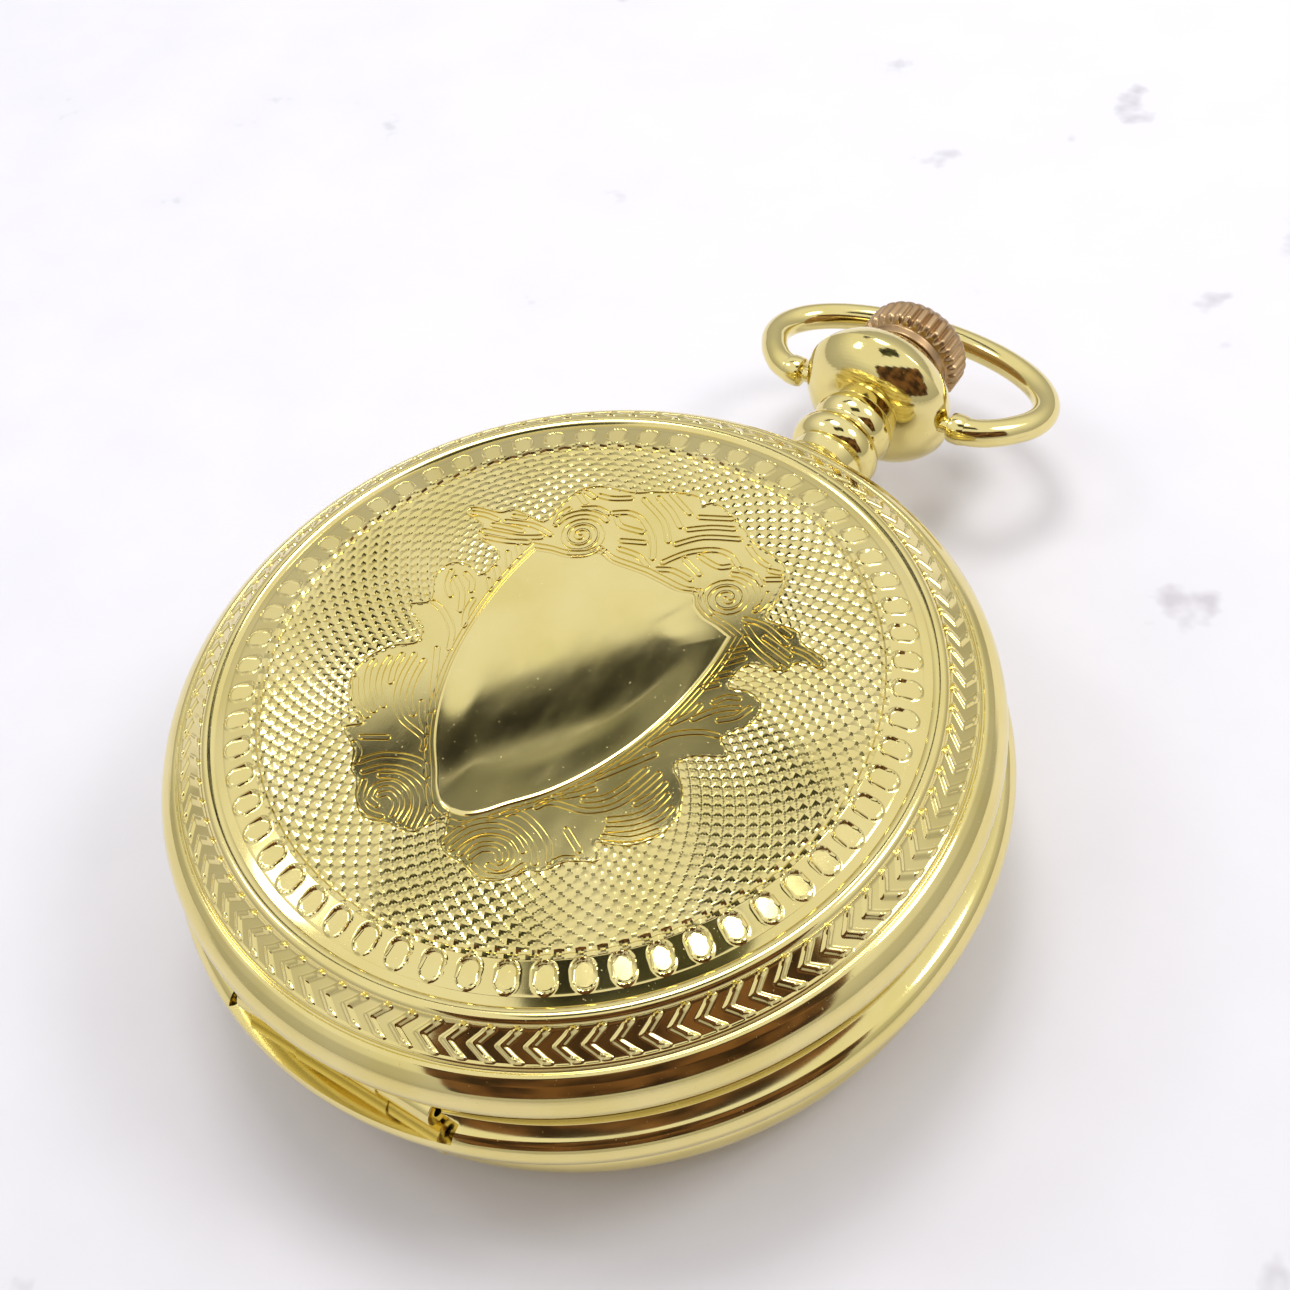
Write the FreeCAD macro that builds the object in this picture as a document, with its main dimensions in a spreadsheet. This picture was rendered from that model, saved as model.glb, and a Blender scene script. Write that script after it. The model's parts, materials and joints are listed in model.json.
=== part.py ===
import FreeCAD, Part
import math
import os
import re
import Sketcher

# Pocket watch: a double hunter case with a hand-wound movement, in millimetres.
# +Z points from the back cover to the engraved front cover and +Y towards the pendant.
# The origin is on the case axis, on the flat of the back cover that the watch lies on.
# Three o'clock on the dial is at the pendant, as in every hunter calibre.

doc = FreeCAD.newDocument("PocketWatch")
sheet = doc.addObject("Spreadsheet::Sheet", "Dims")

# name, value in millimetres or degrees, meaning
DIMENSIONS = [
    ("thick", 16.4, "case thickness over both covers"),
    ("axis_z", 8.2, "height of the stem, pendant and crown axis"),
    ("band_r", 23.5, "crest of the bead round the case middle"),
    ("waist_r", 22.2, "groove on each side of that bead"),
    ("part_r", 22.4, "outer radius of a cover at its lower edge"),
    ("back_inset", 0.8, "how much smaller the back cover is than the front one, all round"),
    ("cover_depth", 5.4, "height of a cover"),
    ("disc_r", 16.7, "flat engraved disc of a cover"),
    ("wall", 0.55, "thickness of a cover"),
    ("oval_count", 60, "oval recesses round a cover"),
    ("oval_mid_r", 17.72, "radius of the circle of ovals"),
    ("oval_long", 1.5, "length of an oval"),
    ("oval_wide", 1.16, "width of an oval"),
    ("oval_deep", 0.16, "depth of an oval"),
    ("bore_r", 20.0, "bore of the case middle for the movement"),
    ("low_bore_r", 20.6, "wider bore behind the movement"),
    ("collar_r", 21.7, "collar of the case middle inside a cover"),
    ("hinge_y", 21.3, "distance of the hinge axes from the case axis"),
    ("hinge_z", 9.9, "height of the front hinge axis"),
    ("barrel_in", 3.05, "inner end of a case knuckle"),
    ("barrel_out", 6.3, "outer end of a case knuckle"),
    ("knuckle_r", 0.9, "hinge knuckle radius"),
    ("pin_r", 0.4, "hinge pin radius"),
    ("fit", 0.05, "radial clearance of a running fit"),
    ("notch_x", 7.4, "half width of the hinge notch"),
    ("notch_z", 8.7, "floor of the hinge notch"),
    ("bezel_r", 21.45, "outer radius of the bezel"),
    ("glass_r", 18.0, "radius of the crystal"),
    ("dial_r", 19.4, "radius of the dial"),
    ("dial_z", 11.9, "underside of the dial"),
    ("dial_thick", 0.4, "dial thickness"),
    ("plate_r", 19.9, "main plate radius"),
    ("plate_z", 9.0, "train side of the main plate"),
    ("bridge_z", 6.4, "train side of the bridges"),
    ("bridge_out_z", 4.9, "outer side of the bridges"),
    ("wall_in_r", 18.6, "inner radius of the main plate's rim"),
    ("pendant_ball_r", 5.1, "radius of the pendant's flared ball"),
    ("pendant_end", 34.9, "outer end of the pendant from the case axis"),
    ("bow_y", 32.3, "bow pivots, distance from the case axis"),
    ("bow_half", 9.6, "bow half width, to the middle of its wire"),
    ("bow_high", 5.67, "bow half height, to the middle of its wire"),
    ("bow_shift", 4.31, "middle of the bow beyond its pivots"),
    ("bow_wire", 0.88, "radius of the bow's wire"),
    ("bow_droop", 14.7, "angle that the bow hangs below the pendant axis"),
    ("crown_r", 3.55, "crown radius over its flutes"),
    ("crown_start", 35.6, "inner face of the crown"),
    ("crown_end", 38.8, "outer end of the crown"),
    ("flutes", 30, "flutes of the crown"),
    ("stem_r", 0.75, "stem radius"),
    ("arbor_r", 0.3, "radius of a train arbor"),
    ("pivot_r", 0.18, "radius of a train pivot"),
    ("jewel_r", 0.8, "outer radius of a jewel"),
    ("jewel_high", 0.4, "thickness of a jewel"),
]
for row_number, (alias, value, meaning) in enumerate(DIMENSIONS, start=1):
    sheet.set(f"A{row_number}", meaning)
    sheet.set(f"B{row_number}", str(value))
    sheet.setAlias(f"B{row_number}", alias)
ALIASES = {alias for alias, value, meaning in DIMENSIONS}
doc.recompute()

X_AXIS = FreeCAD.Vector(1, 0, 0)
Y_AXIS = FreeCAD.Vector(0, 1, 0)
Z_AXIS = FreeCAD.Vector(0, 0, 1)
ORIGIN = FreeCAD.Vector(0, 0, 0)
AXIS_TURNS = {
    "x": FreeCAD.Rotation(Z_AXIS, X_AXIS),
    "y": FreeCAD.Rotation(Z_AXIS, Y_AXIS),
    "z": FreeCAD.Rotation(),
}
SUBPARTS = []


# ---- helpers: every size is text, worked out from the sheet ----

def named(text):
    """The expression with the sheet's name before each of its cells."""
    def with_sheet(word):
        return ("Dims." if word.group() in ALIASES else "") + word.group()

    return re.sub(r"[a-z_]+", with_sheet, str(text))


def size(text):
    """The value of an expression now."""
    return float(sheet.evalExpression(named(text)))


def is_plain(text):
    return not re.search("[a-z]", str(text))


def bind(thing, prop, text):
    """Ties a property to the sheet, or sets it when the text is a plain number."""
    if is_plain(text):
        text = f"{text} * 1"
    thing.setExpression(prop, named(text))


def finished(label, thing):
    """Names a finished sub-part."""
    thing.Label = label
    SUBPARTS.append(thing)
    return thing


def put(thing, x=0, y=0, z=0, along="z", turn=None):
    """Places a primitive with its own axis along x, y or z."""
    thing.Placement = FreeCAD.Placement(ORIGIN, turn or AXIS_TURNS[along])
    for letter, text in zip("xyz", (x, y, z)):
        bind(thing, f"Placement.Base.{letter}", text)
    return thing


def cylinder(radius, height, x=0, y=0, z=0, along="z"):
    thing = doc.addObject("Part::Cylinder", "Cylinder")
    bind(thing, "Radius", radius)
    bind(thing, "Height", height)
    return put(thing, x, y, z, along)


def cone(radius1, radius2, height, x=0, y=0, z=0, along="z", turn=None):
    thing = doc.addObject("Part::Cone", "Cone")
    bind(thing, "Radius1", radius1)
    bind(thing, "Radius2", radius2)
    bind(thing, "Height", height)
    return put(thing, x, y, z, along, turn)


def box(wide, deep, high, x=0, y=0, z=0):
    """A box centred on x and y, standing on z."""
    thing = doc.addObject("Part::Box", "Box")
    bind(thing, "Length", wide)
    bind(thing, "Width", deep)
    bind(thing, "Height", high)
    return put(thing, f"({x}) - ({wide}) / 2", f"({y}) - ({deep}) / 2", z)


def fuse(*things):
    thing = doc.addObject("Part::MultiFuse", "Fuse")
    thing.Shapes = list(things)
    thing.Refine = True
    return thing


def cut(base, *tools):
    thing = doc.addObject("Part::Cut", "Cut")
    thing.Base = base
    thing.Tool = tools[0] if len(tools) == 1 else fuse(*tools)
    return thing


def coded(shape, name="Coded"):
    """A shape made by code, for gears and springs."""
    thing = doc.addObject("Part::Feature", name)
    place = FreeCAD.Placement(shape.Placement)
    thing.Shape = shape
    thing.Placement = place
    return thing


def origin_plane(body, role):
    return next(item for item in body.Origin.OriginFeatures if item.Role == role)


def arc_middle(start, end, radius, side):
    """A point of the arc between two points; side is +1 where it bulges left of the way along."""
    dx, dy = end[0] - start[0], end[1] - start[1]
    chord = math.hypot(dx, dy)
    rise = radius - math.sqrt(max(radius ** 2 - chord ** 2 / 4, 0))
    across = side * rise / chord
    return ((start[0] + end[0]) / 2 - dy * across, (start[1] + end[1]) / 2 + dx * across)


def outline_sketch(body, plane, outline):
    """A closed sketch. A point is (x, y), or (x, y, radius, side) where an arc leads to the next."""
    sketch = body.newObject("Sketcher::SketchObject", "Outline")
    sketch.AttachmentSupport = (origin_plane(body, plane), [""])
    sketch.MapMode = "FlatFace"
    values = [(size(point[0]), size(point[1])) for point in outline]
    count = len(outline)
    for index, point in enumerate(outline):
        start, end = values[index], values[(index + 1) % count]
        if len(point) == 2:
            edge = Part.LineSegment(FreeCAD.Vector(*start, 0), FreeCAD.Vector(*end, 0))
        else:
            middle = arc_middle(start, end, size(point[2]), point[3])
            edge = Part.Arc(*(FreeCAD.Vector(*spot, 0) for spot in (start, middle, end)))
        sketch.addGeometry(edge, False)
    starts = []
    for index in range(count):
        begin = sketch.getPoint(index, 1)
        flipped = math.hypot(begin.x - values[index][0], begin.y - values[index][1]) > 1e-6
        starts.append(2 if flipped else 1)
    for index in range(count):
        following = (index + 1) % count
        sketch.addConstraint(
            Sketcher.Constraint("Coincident", index, 3 - starts[index], following, starts[following])
        )
    for index, point in enumerate(outline):
        for kind, text, value in zip(("DistanceX", "DistanceY"), point, values[index]):
            mark = sketch.addConstraint(Sketcher.Constraint(kind, -1, 1, index, starts[index], value))
            if not is_plain(text):
                sketch.setExpression(f"Constraints[{mark}]", named(text))
        if len(point) == 4:
            mark = sketch.addConstraint(Sketcher.Constraint("Radius", index, size(point[2])))
            if not is_plain(point[2]):
                sketch.setExpression(f"Constraints[{mark}]", named(point[2]))
    return sketch


def turned(outline, name="Turned"):
    """A body turned about its own z axis from an outline of (radius, height) points."""
    body = doc.addObject("PartDesign::Body", name)
    sketch = outline_sketch(body, "XZ_Plane", outline)
    turning = body.newObject("PartDesign::Revolution", "Turning")
    turning.Profile = sketch
    turning.ReferenceAxis = (sketch, ["V_Axis"])
    turning.Angle = 360
    return body


def facing_y(body):
    """Lays a turned body along +Y at the height of the stem."""
    return put(body, 0, 0, "axis_z", turn=AXIS_TURNS["y"])


# ---- gears ----

def tooth_ring(teeth, pitch_r, rotation, addendum=0.75, dedendum=1.15, root_share=0.56, tip_share=0.2):
    """The polygon of a straight-sided spur gear; rotation is the angle of one tooth in degrees."""
    module = 2 * pitch_r / teeth
    pitch = 360 / teeth
    corners = [
        (pitch_r - dedendum * module, -root_share / 2),
        (pitch_r + addendum * module, -tip_share / 2),
        (pitch_r + addendum * module, tip_share / 2),
        (pitch_r - dedendum * module, root_share / 2),
    ]
    points = []
    for tooth in range(teeth):
        for radius, share in corners:
            angle = math.radians(rotation + (tooth + share) * pitch)
            points.append(FreeCAD.Vector(radius * math.cos(angle), radius * math.sin(angle), 0))
    return points


def prism(points, low, high):
    face = Part.Face(Part.makePolygon(points + points[:1]))
    face.translate(FreeCAD.Vector(0, 0, low))
    return face.extrude(FreeCAD.Vector(0, 0, high - low))


def disc(radius, low, high, x=0, y=0):
    return Part.makeCylinder(radius, high - low, FreeCAD.Vector(x, y, low))


def polar(radius, degrees, z=0):
    angle = math.radians(degrees)
    return FreeCAD.Vector(radius * math.cos(angle), radius * math.sin(angle), z)


def sector(inner, outer, start, end, low, high):
    """Part of a ring between two angles."""
    middle = (start + end) / 2
    edges = [
        Part.LineSegment(polar(inner, start), polar(outer, start)),
        Part.Arc(polar(outer, start), polar(outer, middle), polar(outer, end)),
        Part.LineSegment(polar(outer, end), polar(inner, end)),
        Part.Arc(polar(inner, end), polar(inner, middle), polar(inner, start)),
    ]
    face = Part.Face(Part.Wire([edge.toShape() for edge in edges]))
    face.translate(FreeCAD.Vector(0, 0, low))
    return face.extrude(FreeCAD.Vector(0, 0, high - low))


def spoked(blank, inner, outer, spokes, low, high, spoke_width=0.9, start=0):
    """The blank with open sectors between its spokes."""
    for index in range(spokes):
        near = math.degrees(spoke_width / 2 / inner)
        begin = start + index * 360 / spokes + near
        blank = blank.cut(sector(inner, outer, begin, begin + 360 / spokes - 2 * near, low - 1, high + 1))
    return blank


def bearing(start, end):
    """The angle in degrees of the way from one (x, y) to another."""
    return math.degrees(math.atan2(end[1] - start[1], end[0] - start[0]))


def mate(rotation, teeth, angle, mate_teeth):
    """The rotation of a gear that meshes at this angle with a gear of known rotation."""
    pitch = 360 / teeth
    ahead = (rotation - angle + pitch / 2) % pitch - pitch / 2
    return angle + 180 - ahead * teeth / mate_teeth + 180 / mate_teeth


def at(shape, spot):
    shape.translate(FreeCAD.Vector(spot[0], spot[1], 0))
    return shape


# ---- places of the movement's arbors, seen from the dial ----

CENTRE = (0, 0)
BARREL = (9.0 * math.cos(math.radians(155)), 9.0 * math.sin(math.radians(155)))
THIRD = (5.615, -4.507)
FOURTH = (9.5, 0)
ESCAPE = (14.05, -1.66)
BALANCE = (9.5, -9.5)
PALLET = (12.17, -4.90)
CROWN_WHEEL = (0, 9.3)
MINUTE_WHEEL = (0, 4.8)
SETTING_WHEEL = (0, 9.8)


# ---- case ----

def cover_outline(height_at, bulge_side, inset):
    """Half section of a cover, its radii less inset; height_at(depth) is a height below the flat disc."""
    outer = [
        ("disc_r + 0.1", 0), ("disc_r + 0.25", 0.16), ("disc_r + 1.8", 0.6), ("disc_r + 2.3", 0.8),
        ("disc_r + 2.9", 0.64), ("disc_r + 3.3", 1.0), ("disc_r + 4.7", 2.1), ("disc_r + 4.95", 2.42),
        ("part_r + 0.1", 2.6, 2.21, bulge_side),
    ]
    inner = [
        ("part_r", "cover_depth"), ("collar_r + 0.15", "cover_depth"), ("collar_r + 0.15", 3.4),
        ("collar_r - 0.4", 3.0), ("collar_r - 0.8", 2.7), ("collar_r - 1.8", "1.1 + wall"),
        ("disc_r + 1.7", "0.65 + wall"), ("disc_r - 0.1", "wall"),
    ]
    rim = [(f"{radius} - {inset}", height_at(depth), *bulge) for radius, depth, *bulge in outer + inner]
    return [(0, height_at(0))] + rim + [(0, height_at("wall"))]


def hinge_ends(height):
    """The two tapered drill notches at the ends of a hinge."""
    right = cone(1.1, 0.25, 3.6, "barrel_out", "-hinge_y - 0.95", height, "x")
    turn = FreeCAD.Rotation(Z_AXIS, FreeCAD.Vector(-1, 0, 0))
    left = cone(1.1, 0.25, 3.6, "-barrel_out", "-hinge_y - 0.95", height, turn=turn)
    return [right, left]


def oval_edges(inset):
    """The outline of the first oval: two straight sides along X and two round ends."""
    middle = size(f"oval_mid_r - {inset}")
    radius = size("oval_wide") / 2
    half_straight = size("oval_long") / 2 - radius
    low, high = middle - half_straight, middle + half_straight
    inner_left, inner_right = FreeCAD.Vector(low, radius, 0), FreeCAD.Vector(low, -radius, 0)
    outer_left, outer_right = FreeCAD.Vector(high, radius, 0), FreeCAD.Vector(high, -radius, 0)
    return [
        Part.LineSegment(inner_left, outer_left),
        Part.Arc(outer_left, FreeCAD.Vector(high + radius, 0, 0), outer_right),
        Part.LineSegment(outer_right, inner_right),
        Part.Arc(inner_right, FreeCAD.Vector(low - radius, 0, 0), inner_left),
    ]


def cover(label, on_top, inset):
    """A cover: a turned shell with its ovals and hinge knuckle; the back one mirrors the front one."""
    def height_at(depth):
        return f"thick - ({depth})" if on_top else f"{depth}"

    body = turned(cover_outline(height_at, 1 if on_top else -1, inset), "CoverShell")
    sketch = body.newObject("Sketcher::SketchObject", "Oval")
    sketch.AttachmentSupport = (origin_plane(body, "XY_Plane"), [""])
    sketch.MapMode = "FlatFace"
    floor = FreeCAD.Vector(0, 0, size(height_at("0.36 + oval_deep")))
    sketch.AttachmentOffset = FreeCAD.Placement(floor, FreeCAD.Rotation())
    for edge in oval_edges(inset):
        sketch.addGeometry(edge, False)
    pocket = body.newObject("PartDesign::Pocket", "OvalPocket")
    pocket.Profile = sketch
    bind(pocket, "Length", 2)
    pocket.Reversed = on_top
    pattern = body.newObject("PartDesign::PolarPattern", "Ovals")
    pattern.Originals = [pocket]
    pattern.Axis = (body.Origin.OriginFeatures[2], [""])
    pattern.Angle = 360
    bind(pattern, "Occurrences", "oval_count")
    body.Tip = pattern
    hinge_height = height_at("thick - hinge_z")
    strap_low = "hinge_z" if on_top else "thick - hinge_z - 1.7"
    notch_height = "hinge_z + 0.6" if on_top else "thick - hinge_z - 0.6"
    knuckle = cylinder("knuckle_r", "2 * barrel_in - 0.2", "-barrel_in + 0.1", "-hinge_y", hinge_height, "x")
    strap = box("2 * barrel_in - 0.2", 0.8, 1.7, 0, "-hinge_y - 0.5", strap_low)
    pin_hole = cylinder("pin_r + fit", 8, -4, "-hinge_y", hinge_height, "x")
    return finished(label, cut(fuse(body, knuckle, strap), pin_hole, *hinge_ends(notch_height)))


cover("front_cover", True, 0)
cover("back_cover", False, "back_inset")

band = turned([
    ("low_bore_r", "thick - 11.9"), ("collar_r - back_inset", "thick - 11.9"),
    ("collar_r - back_inset", "cover_depth + 0.05"), ("part_r - back_inset - 0.05", "cover_depth + 0.05"),
    ("waist_r", "cover_depth + 0.4"), ("waist_r", "axis_z - 1.4"),
    ("band_r - 0.75", "axis_z - 1.1", 1.18, -1), ("band_r - 0.75", "axis_z + 1.1"),
    ("waist_r", "axis_z + 1.4"),
    ("waist_r", "thick - cover_depth - 0.4"), ("part_r - 0.05", "thick - cover_depth - 0.05"),
    ("collar_r", "thick - cover_depth - 0.05"), ("collar_r", "dial_z"), ("low_bore_r + 0.1", "dial_z"),
    ("low_bore_r + 0.1", 11.2), ("bore_r", 11.2), ("bore_r", "bridge_z"), ("low_bore_r", "bridge_z"),
], "Band")


def hinge_notch(low, knuckle_z):
    """The room that a cover's rim and knuckle turn in."""
    clearing = box("2 * notch_x", 4, "12 - notch_z", 0, "-hinge_y - 2", low)
    socket = cylinder("knuckle_r + 0.1", "2 * barrel_in", "-barrel_in", "-hinge_y", knuckle_z, "x")
    return [clearing, socket]


def case_knuckles(height):
    right = cylinder("knuckle_r", "barrel_out - barrel_in", "barrel_in", "-hinge_y", height, "x")
    left = cylinder("knuckle_r", "barrel_out - barrel_in", "-barrel_out", "-hinge_y", height, "x")
    return [right, left]


SPRING_LOW, SPRING_HIGH = 9.3, 10.5
LOCK_START, LOCK_END = 96, 160
LIFT_START, LIFT_END = 196, 245
LOCK_EYE_R = 20.4


def spring_room(start, end, finger_start, finger_end):
    """The channel for a case spring and the slot for its finger, inside the band."""
    bore = size("bore_r")
    channel = sector(bore - 0.55, bore + 0.8, start - 1.5, end + 1.5, SPRING_LOW - 0.1, SPRING_HIGH + 0.1)
    slot = sector(bore - 0.55, bore + 2, finger_start - 1.2, finger_end + 1.2, SPRING_LOW - 0.1, 11.95)
    return coded(channel.fuse(slot), "SpringRoom")


def case_spring(start, end, finger_start, finger_end):
    """A flat bow spring lying in the band, with a finger that reaches the cover's rim."""
    bore = size("bore_r")
    leaf = sector(bore + 0.15, bore + 0.6, start, end, SPRING_LOW, SPRING_HIGH)
    finger = sector(bore + 0.15, bore + 1.75, finger_start, finger_end, SPRING_LOW, 11.7)
    return leaf.fuse(finger).removeSplitter()


lift_room = spring_room(LIFT_START, LIFT_END, LIFT_END - 3, LIFT_END)
finished("lift_spring", coded(case_spring(LIFT_START, LIFT_END, LIFT_END - 3, LIFT_END), "LiftSpring"))

# The lock spring's far end is rolled into an eye round a pin of the band.
lock_room = spring_room(LOCK_START - 8, LOCK_END, LOCK_START - 8, LOCK_START)
eye_spot = polar(LOCK_EYE_R, LOCK_END)[:2]
lock_spring = case_spring(LOCK_START - 8, LOCK_END, LOCK_START - 8, LOCK_START)
lock_spring = lock_spring.fuse(disc(0.34, SPRING_LOW, SPRING_HIGH, *eye_spot))
lock_spring = lock_spring.cut(disc(0.17, SPRING_LOW - 1, SPRING_HIGH + 1, *eye_spot))
finished("lock_spring", coded(lock_spring.removeSplitter(), "LockSpring"))
eye_pin = coded(disc(0.15, SPRING_LOW - 0.3, SPRING_HIGH + 0.3, *eye_spot), "EyePin")

FRONT_HINGE, BACK_HINGE = "hinge_z", "thick - hinge_z"
stem_hole = cylinder(0.95, 8, 0, 17, "axis_z", "y")
pendant_seat = cylinder(3.15, 3, 0, 22.9, "axis_z", "y")
carved = cut(
    band, *hinge_notch("notch_z", FRONT_HINGE), *hinge_notch("thick - 12", BACK_HINGE),
    *hinge_ends("hinge_z + 0.6"), *hinge_ends("thick - hinge_z - 0.6"), stem_hole, pendant_seat,
    lift_room, lock_room,
)
knuckles = case_knuckles(FRONT_HINGE) + case_knuckles(BACK_HINGE)
pin_bores = [cylinder("pin_r", 20, -10, "-hinge_y", height, "x") for height in (FRONT_HINGE, BACK_HINGE)]
finished("case_middle", cut(fuse(carved, eye_pin, *knuckles), *pin_bores))
for label, height in (("front_hinge_pin", FRONT_HINGE), ("back_hinge_pin", BACK_HINGE)):
    finished(label, cylinder("pin_r", "2 * barrel_out - 1.2", "-barrel_out + 0.6", "-hinge_y", height, "x"))

finished("dust_cover", turned([
    (0, 2.9), ("low_bore_r - 0.6", 2.9), ("low_bore_r - 0.05", 3.5), ("low_bore_r - 0.05", 5.0),
    ("low_bore_r - 0.4", 5.0), ("low_bore_r - 0.4", 3.7), ("low_bore_r - 0.8", 3.3), (0, 3.3),
]))
finished("bezel", turned([
    ("low_bore_r + 0.15", "dial_z + 0.05"), ("bezel_r", "dial_z + 0.05"), ("bezel_r", 12.6),
    ("bezel_r - 0.9", 13.5, 4, 1), ("glass_r + 0.5", 14.55), ("glass_r + fit", 14.55),
    ("glass_r + fit", 13.75), ("glass_r - 0.4", 13.75),
    ("glass_r - 0.4", 13.2), ("low_bore_r - 1", 12.5), ("low_bore_r + 0.15", 12.5),
]))


def dome(top, rise, radius, steps=6):
    """Straight steps along a shallow dome, flat at its middle; radius is text."""
    shares = [step / steps for step in range(1, steps + 1)]
    rim_points = [
        (f"({radius}) * {share}", f"{top} - {rise * (share ** 2 - shares[0] ** 2)}") for share in shares
    ]
    return [(0, top)] + rim_points


outer_dome = dome(15.3, 0.95, "glass_r")
inner_dome = dome(14.6, 0.8, "glass_r - 0.5")
finished("crystal", turned(inner_dome + [("glass_r", 13.82)] + list(reversed(outer_dome))))

# ---- pendant, bow and crown ----

pendant = facing_y(turned([
    (0.95, 22.9), (3.1, 22.9), (3.1, 23.7, 1.6, -1), (2.35, 25.2), (2.35, 26.1, 1.277, -1), (2.35, 28.2),
    (2.35, 28.5, 1.377, -1), (2.35, 30.2), (2.7, 30.3, 3.2, -1), ("pendant_ball_r", 32.5, 3.6, -1),
    (3.5, "pendant_end"), (2.1, "pendant_end"), (2.1, 32.4), (0.95, 32.4),
], "PendantTurning"))
peg_holes = [cylinder("0.5 + fit", 3.2, x, "bow_y", "axis_z", "x") for x in (2.9, -6.1)]
finished("pendant", cut(pendant, *peg_holes))


def bow_shape():
    """A round wire bent to part of an ellipse, its ball ends pegged into the pendant."""
    half, high, shift = size("bow_half"), size("bow_high"), size("bow_shift")
    wire_r = size("bow_wire")
    first = math.asin(-shift / high) + math.radians(4)
    ellipse = Part.Ellipse(ORIGIN, half, high).toShape(first, math.pi - first)
    ellipse.translate(FreeCAD.Vector(0, shift, 0))
    start = ellipse.valueAt(ellipse.FirstParameter)
    tangent = ellipse.tangentAt(ellipse.FirstParameter)
    section = Part.Wire(Part.makeCircle(wire_r, start, tangent))
    shape = Part.Wire(ellipse).makePipeShell([section], True, True)
    for side in (1, -1):
        end = FreeCAD.Vector(side * (abs(start.x) - 0.25), 0, 0)
        shape = shape.fuse(Part.makeSphere(1.12, end))
        inner = FreeCAD.Vector(side * 3.4, 0, 0)
        shape = shape.fuse(Part.makeCylinder(0.5, abs(end.x) - 3.4, inner, FreeCAD.Vector(side, 0, 0)))
    return shape.removeSplitter()


bow = coded(bow_shape(), "Bow")
bow.Placement.Rotation = FreeCAD.Rotation(X_AXIS, -size("bow_droop"))
bind(bow, "Placement.Base.y", "bow_y")
bind(bow, "Placement.Base.z", "axis_z")
finished("bow", bow)

crown_body = turned([
    ("stem_r", 32.9), (1.9, 32.9), (1.9, "crown_start"), (2.95, "crown_start"), (2.95, "crown_start + 0.6"),
    (3.3, "crown_start + 0.8"), ("crown_r", "crown_start + 1.1"), ("crown_r", "crown_end - 1"),
    ("crown_r - 0.45", "crown_end - 0.5"), (2.3, "crown_end - 0.1"), (1.3, "crown_end"), (0, "crown_end"),
    (0, "crown_end - 1.1"), ("stem_r", "crown_end - 1.1"),
], "CrownTurning")
flute_sketch = crown_body.newObject("Sketcher::SketchObject", "Flute")
flute_sketch.AttachmentSupport = (origin_plane(crown_body, "XY_Plane"), [""])
flute_sketch.MapMode = "FlatFace"
flute_top = FreeCAD.Vector(0, 0, size("crown_end + 0.7"))
flute_sketch.AttachmentOffset = FreeCAD.Placement(flute_top, FreeCAD.Rotation())
flute_sketch.addGeometry(Part.Circle(FreeCAD.Vector(size("crown_r") + 0.1, 0, 0), Z_AXIS, 0.3), False)
flute_sketch.addConstraint(Sketcher.Constraint("Radius", 0, 0.3))
flute_sketch.addConstraint(Sketcher.Constraint("PointOnObject", 0, 3, -1))
flute_place = Sketcher.Constraint("DistanceX", -1, 1, 0, 3, size("crown_r") + 0.1)
flute_mark = flute_sketch.addConstraint(flute_place)
flute_sketch.setExpression(f"Constraints[{flute_mark}]", named("crown_r + 0.1"))
flute = crown_body.newObject("PartDesign::Pocket", "FluteCut")
flute.Profile = flute_sketch
bind(flute, "Length", "crown_end - crown_start")
flutes = crown_body.newObject("PartDesign::PolarPattern", "Flutes")
flutes.Originals = [flute]
flutes.Axis = (crown_body.Origin.OriginFeatures[2], [""])
flutes.Angle = 360
bind(flutes, "Occurrences", "flutes")
crown_body.Tip = flutes
finished("crown", facing_y(crown_body))
finished("pendant_stem", fuse(
    cylinder("stem_r", "crown_end - 1.1 - 19.9", 0, 19.9, "axis_z", "y"), box(1.0, 3.0, 1.0, 0, 18.4, "axis_z - 0.5"),
))

# ---- plates and bridges ----

PLATE_Z, BRIDGE_Z, BRIDGE_OUT = size("plate_z"), size("bridge_z"), size("bridge_out_z")
DIAL_Z = size("dial_z")
ARBOR_R, PIVOT_R, FIT = size("arbor_r"), size("pivot_r"), size("fit")
JEWEL_R, JEWEL_HIGH = size("jewel_r"), size("jewel_high")
RECESS_Z = 10.6
SCREW_R, HEAD_R, SCREW_CIRCLE = 0.4, 0.75, 19.15
JEWELLED = [THIRD, FOURTH, ESCAPE, PALLET, BALANCE]
LEVER = (2.9, 16.6)
PALLET_FOOT = (16.9, -7.2)
CLICK = (-10.76, -3.34)
CLICK_TIP = (-7.55, -2.65)
BRIDGE_SCREWS = [112, 160, 205, 66, 22, -10, -47, -56]
CASE_SCREWS = [125, -110, 48]


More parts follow.
